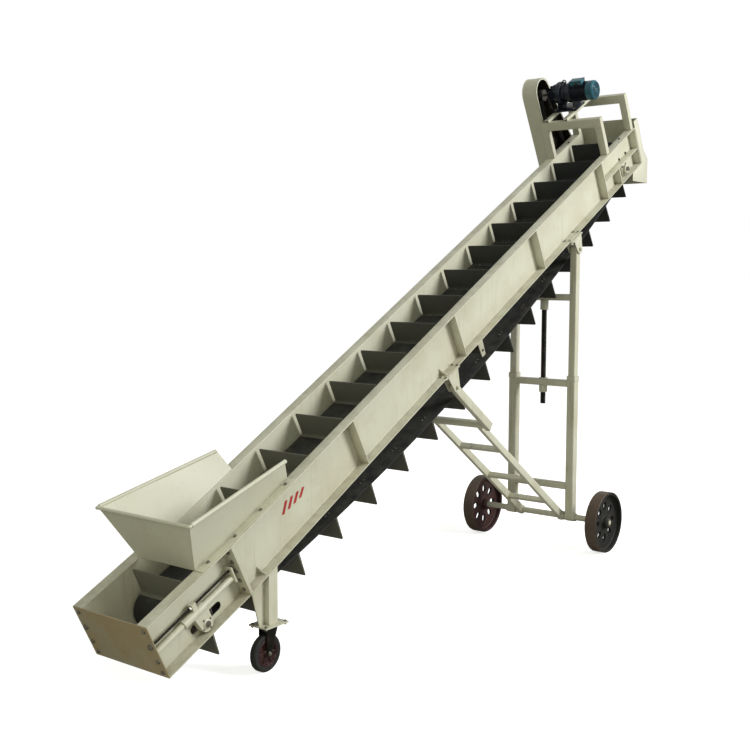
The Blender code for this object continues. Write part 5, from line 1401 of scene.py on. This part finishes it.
        end = lay.end + 0.0003
        low = -lay.height - 0.0003
        back_top, front_top = spot(end, 0.07), spot(lay.end + 0.096, 0.07)
        bend = spot(lay.end + 0.096, -0.3)
        back_low, under = spot(end, low), spot(lay.end - 0.252, low)
        right = bend[0] + 0.117
        knee = bend[1] - 0.094
        bottom = back_low[1] - 0.205
        cheek = [back_top, front_top, bend, (right, knee), (right, bottom), (under[0], bottom), under,
                 back_low]
        cheek = rounded(cheek, [0.006, 0.004, 0.02, 0.02, 0.004, 0.006, 0.002, 0.002], 3)
        shells = [slab(cheek, y, y + t, 0.0012, 2) for y in (-sheet_y, sheet_y - t)]
        path = np.array([front_top, bend, (right, knee), (right, bottom)])
        path = rounded(path, 0.02, 5, closed=False)
        apron = np.concatenate([path, (path - np.array([t, 0.0]))[::-1]])
        shells.append(slab(apron, -sheet_y + t, sheet_y - t, 0.0005, 1))
        hem = [tube(np.stack([p[:, 0], np.full(len(p), side * (sheet_y - 0.002)), p[:, 1]], 1), 0.0035, 8,
                    (0, 1, 0)) for p in (path,) for side in (-1, 1)]
        piece("chute_sheets", None, {"hopper": shells + hem}, "trough", ["discharge_chute"])

    def build(self, lay, sizes):
        self.stand(lay)
        self.sheaves(lay, sizes)
        self.guard(lay, sizes)
        self.chute(lay)


class CONVEYOR_OT_brackets(ConveyorStep, bpy.types.Operator):
    """Paints the clevis brackets and adds their bolts and welds"""
    bl_idname = "conveyor.brackets"
    bl_label = "Brackets"

    def build(self, lay, sizes):
        dress([n for n in NODES if n.startswith(("brace_bracket", "leg_bracket"))], PAINTS["frame"])
        heads, welds = [], []
        top = -lay.height
        for s, half, y in ((3.605, 0.036, 0.33), (6.094, 0.052, 0.34)):
            for side in SIDES.values():
                spots = [(s + ds, side * 0.352, top - 0.0105) for ds in (-0.094, 0.104)]
                spots += [(s + ds, side * 0.3, top - 0.0105) for ds in (-0.094, 0.104)]
                heads += bolts(spots, (0, 0, -1), 0.01, 19)
                upper = [(a, b, -lay.height + 0.0082) for a, b, _ in spots if abs(b) > 0.28]
                heads += bolts(upper, (0, 0, 1), 0.01, 20, nut=True)
                for k in (-1, 1):
                    for face in (0.0, 0.0085):
                        edge = side * (y + k * (half - 0.008 + face))
                        welds.append(bead((s - 0.068, edge, top - 0.012), (s + 0.082, edge, top - 0.012),
                                          0.0035))
        piece("bracket_bolts", lay.main, {"zinc": heads}, "trough")
        piece("bracket_welds", lay.main, {"weld": welds}, "trough")


class CONVEYOR_OT_caster(ConveyorStep, bpy.types.Operator):
    """Makes the caster: fork with swivel bearing, tyre, red wheel centre and bolt"""
    bl_idname = "conveyor.caster"
    bl_label = "Caster"

    def build(self, lay, sizes):
        dress(["caster_post"], PAINTS["frame"])
        x, y, radius = lay.swivel
        crown = 0.318 - radius
        top = 0.342 - 0.01 - 0.0003 - radius
        place = shifted(x, y, radius)
        wing = 0.0355
        fork = [lathe([(0.001, crown - 0.001), (0.046, crown - 0.001), (0.046, crown + 0.004),
                       (0.041, crown + 0.006), (0.041, crown + 0.008), (0.048, crown + 0.01),
                       (0.048, top), (0.001, top)], 0.0008, 2, axis=2, steps=48)]
        plate = rounded(rectangle(-0.066, 0.052, -wing - 0.0062, wing + 0.0062), 0.01, 4)
        fork.append(slab(plate, crown - 0.008, crown, 0.0015, 2, (0, 1, 2)))
        trail = -0.038
        arm = np.concatenate([[(-0.062, crown - 0.004), (0.048, crown - 0.004)],
                              arc((trail, 0.0), 0.022, -0.3, -math.pi + 0.1, 14)])
        fork += [slab(arm, k * (wing + 0.003) - 0.003, k * (wing + 0.003) + 0.003, 0.0014,
                      2) for k in (-1, 1)]
        fork += [bead((-0.055, k * (wing + 0.0062), crown - 0.004),
                      (0.044, k * (wing + 0.0062), crown - 0.004), 0.003)
                 for k in (-1, 1)]
        bolt = lathe([(0.001, -wing - 0.016), (0.008, -wing - 0.016), (0.008, wing + 0.016),
                      (0.001, wing + 0.016)], 0.001, 1, (trail, 0, 0), steps=20)
        heads = bolts([(trail, wing + 0.0062, 0)], (0, 1, 0), 0.013, 21)
        heads += bolts([(trail, -wing - 0.0062, 0)], (0, -1, 0), 0.013, 22, nut=True)
        piece("caster_fork_plates", place, {"screw": fork, "zinc": [bolt] + heads}, "caster_swivel",
              ["caster_fork"])
        wheel = shifted(x + trail, y, radius)
        w = 0.0275
        tyre = rounded([(0.098, -w), (radius - 0.008, -w), (radius, -w + 0.01), (radius, w - 0.01),
                        (radius - 0.008, w),
                        (0.098, w)], [0.002, 0.004, 0.006, 0.006, 0.004, 0.002], 4)
        grooves = [turned(rounded(rectangle(radius - 0.0012, radius + 0.0004, c - 0.001, c + 0.001),
                                  0.0003, 1), steps=96, closed=True) for c in (-0.01, 0.01)]
        piece("caster_tyre_ring", wheel, {"tyre": [turned(tyre, steps=96, closed=True)] + grooves},
              "caster_wheel", ["caster_tyre"])
        hub = rounded([(0.0085, -w - 0.003), (0.026, -w - 0.003), (0.031, -0.014), (0.078, -0.009),
                       (0.086, -w + 0.002),
                       (0.0977, -w + 0.001), (0.0977, w - 0.001), (0.086, w - 0.002), (0.078, 0.009),
                       (0.031, 0.014),
                       (0.026, w + 0.003), (0.0085, w + 0.003)], 0.003, 3)
        a = np.arange(6) * FULL_TURN / 6
        ribs = [placed(slab(rounded([(0.026, -0.018), (0.082, -0.022), (0.082, 0.022), (0.026, 0.018)],
                                    0.002, 1),
                            -0.003, 0.003, 0.001, 1, (0, 1, 2)), turned_about_y(t)) for t in a]
        piece("caster_wheel_centre", wheel, {"hub": [turned(hub, steps=64, closed=True)] + ribs},
              "caster_wheel", ["caster_hub"])
        spots = [(x + a, y + b, 0.3425) for a in (-0.098, 0.098) for b in (-0.066, 0.066)]
        under = [(x + a, y + b, 0.3318) for a in (-0.098, 0.098) for b in (-0.066, 0.066)]
        heads = bolts(spots, (0, 0, 1), 0.011, 23) + bolts(under, (0, 0, -1), 0.011, 24, nut=True)
        piece("caster_plate_bolts", None, {"zinc": heads}, "trough")
        welds = [bead((x + a, y - 0.045, 0.344), (x + a, y + 0.045, 0.344), 0.004) for a in (-0.046, 0.046)]
        welds += [bead((x - 0.045, y + b, 0.344), (x + 0.045, y + b, 0.344), 0.004) for b in (-0.046,
                                                                                              0.046)]
        piece("caster_post_welds", None, {"weld": welds}, "trough")


def square_tube(place, y, low, high, width, wall, corner=0.012):
    """Upright square tube with rounded corners, open at both ends."""
    h = width / 2
    outer = rounded(rectangle(-h, h, y - h, y + h), corner, 5)
    h -= wall
    inner = rounded(rectangle(-h, h, y - h, y + h), corner - wall, 5)
    return placed(hollow(outer, inner, low, high, (0, 1, 2)), place)


class CONVEYOR_OT_brace(ConveyorStep, bpy.types.Operator):
    """Makes the ladder brace with its welds, and the axle"""
    bl_idname = "conveyor.brace"
    bl_label = "Ladder brace"

    def build(self, lay, sizes):
        cross = 0.68
        tube_profile = rounded([(0.001, -0.352), (0.036, -0.352), (0.036, 0.352), (0.001, 0.352)], 0.002,
                               2, closed=False)
        shells = [turned(tube_profile, (cross, 0.0, 0.0), steps=48)]
        welds = []
        for side in SIDES.values():
            y = side * 0.33
            outer = np.concatenate([arc((0.0, 0.0), 0.034, math.pi / 2, 3 * math.pi / 2, 16),
                                    [(0.12, -0.04), (cross + 0.04, -0.04), (cross + 0.04, 0.04),
                                     (0.12, 0.04)]])
            shells.append(slab(outer, y - 0.025, y + 0.025, 0.007, 3))
            shells.append(turned(rounded(rectangle(0.0125, 0.03, -0.0275, 0.0275), 0.0015, 2),
                                 (0.0, y, 0.0), steps=32, closed=True))
            y = side * 0.235
            outer = np.concatenate([arc((lay.brace_length, 0.0), 0.048, -math.pi / 2 - 0.6,
                                        math.pi / 2 + 0.6, 24),
                                    [(cross, 0.03), (cross, -0.03)]])
            shells.append(slab(outer, y - 0.02, y + 0.02, 0.006, 3))
            shells.append(turned(rounded(rectangle(0.0303, 0.044, -0.024, 0.024), 0.002, 2),
                                 (lay.brace_length, y, 0.0), steps=40, closed=True))
            for a in (y - 0.02, y + 0.02):
                welds.append(bead((cross + 0.03, a, -0.024), (cross + 0.03, a, 0.024), 0.004, (0, 1, 0)))
        for place in (1.19, 1.82, 2.31):
            outline = rounded(rectangle(place - 0.025, place + 0.025, -0.025, 0.025), 0.006, 4)
            shells.append(slab(outline, -0.216, 0.216, 0.001, 1))
            for side in SIDES.values():
                for edge in (-0.026, 0.026):
                    welds.append(bead((place + edge, side * 0.2145, -0.022),
                                      (place + edge, side * 0.2145, 0.022), 0.004,
                                      (0, 1, 0)))
                    welds.append(bead((place - 0.024, side * 0.2145, edge),
                                      (place + 0.024, side * 0.2145, edge), 0.004))
        piece("brace_ladder", lay.brace, {"frame": shells, "weld": welds}, "stand_brace",
              ["ladder_brace"])
        face = sizes.wheel_face - sizes.wheel_width
        end = sizes.wheel_face + 0.01
        profile = rounded([(0.001, -end), (0.024, -end), (0.024, -face + 0.01), (0.03, -face + 0.01),
                           (0.03, face - 0.01), (0.024, face - 0.01), (0.024, end), (0.001, end)], 0.0015,
                          2,
                          closed=False)
        axle = [turned(profile, steps=48)]
        collars = []
        for side in SIDES.values():
            for y in (0.268, 0.395):
                ring = rounded(rectangle(0.0302, 0.042, -0.009, 0.009), 0.0015, 2)
                collars.append(turned(ring, (0.0, side * y, 0.0), steps=40, closed=True))
                collars += bolts([(0.0, side * y, 0.0415)], (0, 0, 1), 0.0055, 25)
        piece("axle_turned", lay.leg, {"frame": axle + collars}, "stand_brace", ["axle"])


class CONVEYOR_OT_legs(ConveyorStep, bpy.types.Operator):
    """Makes the telescopic stand: outer and inner tubes, cross bars and the jack screw"""
    bl_idname = "conveyor.legs"
    bl_label = "Jack stand"

    def build(self, lay, sizes):
        outer_top, bottom_bar, lower_bar, upper_bar = 1.455, 0.315, 1.375, 2.25
        shells, welds = [], []
        for side in SIDES.values():
            y = side * 0.34
            shells.append(square_tube(np.eye(4), y, 0.03, outer_top, 0.09, 0.005))
            shoe = np.concatenate([arc((0.0, 0.0), 0.0448, math.pi, FULL_TURN, 20),
                                   [(0.0448, 0.04), (-0.0448, 0.04)]])
            shells.append(slab(shoe, y - 0.0448, y + 0.0448, 0.008, 3))
            shells.append(turned(rounded(rectangle(0.0306, 0.042, -0.048, 0.048), 0.002, 2),
                                 (0.0, y, 0.0), steps=40, closed=True))
            band = rounded(rectangle(-0.049, 0.049, y - 0.049, y + 0.049), 0.012, 4)
            inner = rounded(rectangle(-0.0448, 0.0448, y - 0.0448, y + 0.0448), 0.01, 4)
            shells.append(hollow(band, inner, outer_top - 0.05, outer_top - 0.002, (0, 1, 2)))
            inside = side * 0.2965
            for z, h in ((lower_bar, 0.035), (bottom_bar, 0.035)):
                for e in (-h - 0.001, h + 0.001):
                    welds.append(bead((-0.03, inside, z + e), (0.03, inside, z + e), 0.0045))
                for x in (-0.034, 0.034):
                    welds.append(bead((x, inside, z - h), (x, inside, z + h), 0.0045, (0, 1, 0)))
        reach = 0.2955
        bar = rounded(rectangle(-0.035, 0.035, lower_bar - 0.035, lower_bar + 0.035), 0.01, 4)
        shells.append(slab(bar, -reach, reach, 0.001, 1))
        bar = rounded(rectangle(-0.03, 0.03, bottom_bar - 0.035, bottom_bar + 0.035), 0.009, 4)
        shells.append(slab(bar, -reach, reach, 0.001, 1))
        nut = rounded([(0.0288, lower_bar - 0.105), (0.04, lower_bar - 0.105), (0.042, lower_bar - 0.1),
                       (0.042, lower_bar - 0.034), (0.0288, lower_bar - 0.034)], 0.0015, 2)
        shells.append(turned(nut, axis=2, steps=40, closed=True))
        collar = rounded(rectangle(0.0288, 0.046, lower_bar + 0.034, lower_bar + 0.044), 0.0015, 2)
        shells.append(turned(collar, axis=2, steps=40, closed=True))
        piece("outer_legs", lay.leg, {"frame": shells, "weld": welds}, "stand_outer_leg",
              ["outer_leg_frame"])

        low = -lay.leg_length
        shells, welds = [], []
        for side in SIDES.values():
            y = side * 0.34
            shells.append(square_tube(np.eye(4), y, low + 1.1, -0.02, 0.076, 0.005, 0.01))
            shoe = np.concatenate([arc((0.0, 0.0), 0.0378, 0.0, math.pi, 18),
                                   [(-0.0378, -0.03), (0.0378, -0.03)]])
            shells.append(slab(shoe, y - 0.0378, y + 0.0378, 0.007, 3))
            shells.append(turned(rounded(rectangle(0.0171, 0.028, -0.0398, 0.0398), 0.0015, 2),
                                 (0.0, y, 0.0), steps=32, closed=True))
            inside = side * 0.3035
            for e in (-0.034, 0.034):
                welds.append(bead((-0.03, inside, low + upper_bar + e),
                                  (0.03, inside, low + upper_bar + e), 0.0045))
                welds.append(bead((e, inside, low + upper_bar - 0.033),
                                  (e, inside, low + upper_bar + 0.033), 0.0045,
                                  (0, 1, 0)))
        bar = rounded(rectangle(-0.033, 0.033, low + upper_bar - 0.033, low + upper_bar + 0.033), 0.009, 4)
        shells.append(slab(bar, -0.3025, 0.3025, 0.001, 1))
        collar = rounded([(0.0284, low + upper_bar - 0.13), (0.04, low + upper_bar - 0.13),
                          (0.042, low + upper_bar - 0.126), (0.042, low + upper_bar - 0.032),
                          (0.0284, low + upper_bar - 0.032)], 0.0015, 2)
        shells.append(turned(collar, axis=2, steps=40, closed=True))
        piece("inner_legs", lay.slide, {"frame": shells, "weld": welds}, "stand_inner_leg",
              ["inner_leg_frame"])
        screw = thread((0, 0, low + 1.15), (0, 0, low + upper_bar - 0.0403), 0.028, 0.01, 0.0035, 32, 6)
        piece("jack_thread", lay.slide, {"screw": [screw]}, "stand_inner_leg", ["jack_screw"])


class CONVEYOR_OT_wheels(ConveyorStep, bpy.types.Operator):
    """Makes the cast rear wheels with their oval windows and the axle nuts"""
    bl_idname = "conveyor.wheels"
    bl_label = "Rear wheels"

    def sector(self, count, inner, outer, half):
        """One window of the web: rings from the sector's border to an ellipse, front and back."""
        t = np.arange(48) * FULL_TURN / 48
        wide = math.pi / count
        middle, reach = (inner + outer) / 2, (outer - inner) / 2
        scale = 1.0 / np.maximum(np.abs(np.cos(t)), np.abs(np.sin(t)))
        rho = middle + reach * np.cos(t) * scale
        phi = wide * np.sin(t) * scale
        border = np.stack([rho * np.cos(phi), rho * np.sin(phi)], 1)

        def oval(grow):
            return np.stack([0.163 + (0.044 + grow) * np.cos(t), (0.029 + grow) * np.sin(t)], 1)

        plane = [border, oval(0.013), oval(0.01), oval(0.003), oval(0.0006), oval(0.0)]
        level = [half, half, half + 0.004, half + 0.004, half + 0.0026, half]
        plane = np.stack(plane + plane[::-1])
        level = np.array(level + [-v for v in level[::-1]])
        grid = np.stack([plane[..., 0], np.broadcast_to(level[:, None], plane.shape[:2]), plane[..., 1]],
                        -1)
        return rings(grid, closed=True)

    def build(self, lay, sizes):
        w = sizes.wheel_width / 2
        r = sizes.wheel_radius
        inner = r - 0.03
        rim = rounded([(inner, -w), (r - 0.004, -w), (r, -w + 0.004), (r, w - 0.004), (r - 0.004, w),
                       (inner, w),
                       (inner + 0.004, 0.02), (inner - 0.006, 0.012), (inner - 0.006, -0.012),
                       (inner + 0.004, -0.02)],
                      0.003, 3)
        hub = rounded([(0.0246, -w), (0.05, -w), (0.058, -w + 0.012), (0.06, -0.02), (0.072, -0.01),
                       (0.072, 0.01),
                       (0.06, 0.02), (0.058, w - 0.012), (0.05, w), (0.0246, w)], 0.003, 3)
        sector = self.sector(sizes.wheel_windows, 0.056, inner + 0.003, 0.01)
        turns = [turned_about_y(k * FULL_TURN / sizes.wheel_windows) for k in range(sizes.wheel_windows)]
        shells = [turned(rim, steps=128, closed=True), turned(hub, steps=64, closed=True),
                  placed(sector, np.array(turns))]
        for name, side in SIDES.items():
            place = lay.leg @ shifted(0.0, side * (sizes.wheel_face - w), 0.0)
            wheel = piece("cast_wheel_" + name, place, {"black": shells}, "wheel_" + name,
                          ["rear_wheel_" + name])
            middle = side * (sizes.wheel_face - w)
            repaint(wheel, PAINTS["red"], lambda c: (middle - c[:, 1]) * side > 0.004)
            repaint(wheel, PAINTS["tread"],
                    lambda c: np.hypot(c[:, 0] - lay.axle[0], c[:, 2] - lay.axle[2]) > r - 0.003)
            out = side * (sizes.wheel_face + 0.0005)
            washer = turned(rounded(rectangle(0.0242, 0.04, 0.0, 0.004), 0.0008, 1), axis=2, steps=40,
                            closed=True)
            nut = turned(rounded([(0.0243, 0.0042), (0.034, 0.0042), (0.034, 0.009), (0.0243, 0.009)],
                                 0.0006, 1), axis=2, steps=6, closed=True)
            cap = [placed(shell, facing([(0.0, out, 0.0)], (0, side, 0))) for shell in (washer, nut)]
            piece("axle_nut_" + name, lay.leg, {"steel": cap}, "stand_brace")


LAMPS = (("key", (4.5, -12.0, 10.0), 6.0, 2100.0, (1.0, 1.0, 1.0)),
         ("fill", (-11.0, -4.0, 5.0), 8.0, 260.0, (1.0, 0.98, 0.76)))
FOCAL_PIXELS = 1084.13
PICTURE_PIXELS = 750.0


class CONVEYOR_OT_stage(ConveyorStep, bpy.types.Operator):
    """Sets the camera, the lights, the world and the floor"""
    bl_idname = "conveyor.stage"
    bl_label = "Stage"

    def build(self, lay, sizes):
        scene = bpy.context.scene
        yaw, pitch, roll = 0.6581, -0.095, 0.0019
        f = Vector((math.cos(pitch) * math.cos(yaw), math.cos(pitch) * math.sin(yaw), math.sin(pitch)))
        r = Vector((math.sin(yaw), -math.cos(yaw), 0.0))
        u = r.cross(f)
        right = r * math.cos(roll) + u * math.sin(roll)
        up = u * math.cos(roll) - r * math.sin(roll)
        eye = Vector((lay.x_start - 4.291, -5.459, 2.81))
        data = bpy.data.cameras.new("camera")
        data.sensor_width = 36.0
        data.lens = FOCAL_PIXELS / PICTURE_PIXELS * data.sensor_width
        data.clip_end = 200.0
        camera = bpy.data.objects.new("camera", data)
        camera.matrix_world = Matrix((right, up, -f)).transposed().to_4x4()
        camera.location = eye
        scene.collection.objects.link(camera)
        scene.camera = camera
        scene.view_settings.view_transform = "Standard"

        for name, place, size, power, colour in LAMPS:
            light = bpy.data.lights.new(name, "AREA")
            light.shape = "DISK"
            light.size = size
            light.energy = power
            light.color = colour
            lamp = bpy.data.objects.new(name, light)
            lamp.location = place
            aim = Vector((0.0, 0.0, 2.0)) - lamp.location
            lamp.rotation_euler = aim.to_track_quat("-Z", "Y").to_euler()
            scene.collection.objects.link(lamp)

        world = bpy.data.worlds.new("studio")
        world.use_nodes = True
        scene.world = world
        tree = world.node_tree
        back = tree.nodes["Background"]
        back.inputs["Color"].default_value = (0.62, 0.63, 0.58, 1.0)
        back.inputs["Strength"].default_value = 0.55
        white = node(tree, "ShaderNodeBackground", {"Color": (1, 1, 1, 1), "Strength": 1.0})
        path = node(tree, "ShaderNodeLightPath").outputs
        seen = maths(tree, "MAXIMUM", path["Is Camera Ray"],
                     times(tree, plus(tree, path["Is Glossy Ray"], path["Is Transmission Ray"]), 0.4))
        mix = node(tree, "ShaderNodeMixShader", {0: seen, 1: back.outputs[0], 2: white.outputs[0]})
        tree.links.new(mix.outputs[0], tree.nodes["World Output"].inputs["Surface"])

        mat = bpy.data.materials.new("studio_floor")
        mat.use_nodes = True
        tree = mat.node_tree
        shader = tree.nodes["Principled BSDF"]
        shader.inputs["Roughness"].default_value = 0.9
        shader.inputs["Specular IOR Level"].default_value = 0.1
        path = node(tree, "ShaderNodeLightPath").outputs
        soft = noise(tree, object_place(tree), 1.3, 2.0, 0.4)
        pale = mixed(tree, times(tree, soft, 0.1), (0.4, 0.39, 0.36, 1), (0.36, 0.35, 0.32, 1))
        bright = mixed(tree, path["Is Camera Ray"], pale, (0.9, 0.9, 0.9, 1))
        tree.links.new(bright, shader.inputs["Base Color"])
        shader.inputs["Emission Color"].default_value = (1.0, 1.0, 1.0, 1.0)
        tree.links.new(times(tree, path["Is Camera Ray"], 0.72), shader.inputs["Emission Strength"])
        floor = bpy.data.meshes.new("floor")
        reach = 60.0
        floor.from_pydata([(-reach, -reach, 0), (reach, -reach, 0), (reach, reach, 0),
                           (-reach, reach, 0)], [],
                          [(0, 1, 2, 3)])
        floor.materials.append(mat)
        ground = bpy.data.objects.new("floor", floor)
        scene.collection.objects.link(ground)


STEPS = (CONVEYOR_OT_stage, CONVEYOR_OT_paints, CONVEYOR_OT_sides, CONVEYOR_OT_belt, CONVEYOR_OT_hopper,
         CONVEYOR_OT_drums, CONVEYOR_OT_take_up, CONVEYOR_OT_motor, CONVEYOR_OT_drive, CONVEYOR_OT_brackets,
         CONVEYOR_OT_caster, CONVEYOR_OT_brace, CONVEYOR_OT_legs, CONVEYOR_OT_wheels)


class CONVEYOR_PT_panel(bpy.types.Panel):
    """Steps that dress the conveyor"""
    bl_idname = "CONVEYOR_PT_panel"
    bl_label = "Belt conveyor"
    bl_space_type = "VIEW_3D"
    bl_region_type = "UI"
    bl_category = "Conveyor"

    def draw(self, context):
        for step in STEPS:
            self.layout.operator(step.bl_idname)
        for settings in (context.scene.conveyor_sizes, context.scene.conveyor_colours):
            box = self.layout.box()
            for key in settings.__annotations__:
                box.prop(settings, key)


CLASSES = (ConveyorSizes, ConveyorColours) + STEPS + (CONVEYOR_PT_panel,)


def register():
    for cls in CLASSES:
        bpy.utils.register_class(cls)
    bpy.types.Scene.conveyor_sizes = PointerProperty(type=ConveyorSizes)
    bpy.types.Scene.conveyor_colours = PointerProperty(type=ConveyorColours)


def unregister():
    del bpy.types.Scene.conveyor_colours
    del bpy.types.Scene.conveyor_sizes
    for cls in reversed(CLASSES):
        bpy.utils.unregister_class(cls)


def main():
    register()
    bpy.ops.conveyor.stage()
    bpy.ops.conveyor.paints()
    bpy.ops.conveyor.sides()
    bpy.ops.conveyor.belt()
    bpy.ops.conveyor.hopper()
    bpy.ops.conveyor.drums()
    bpy.ops.conveyor.take_up()
    bpy.ops.conveyor.motor()
    bpy.ops.conveyor.drive()
    bpy.ops.conveyor.brackets()
    bpy.ops.conveyor.caster()
    bpy.ops.conveyor.brace()
    bpy.ops.conveyor.legs()
    bpy.ops.conveyor.wheels()


if __name__ == "__main__":
    main()
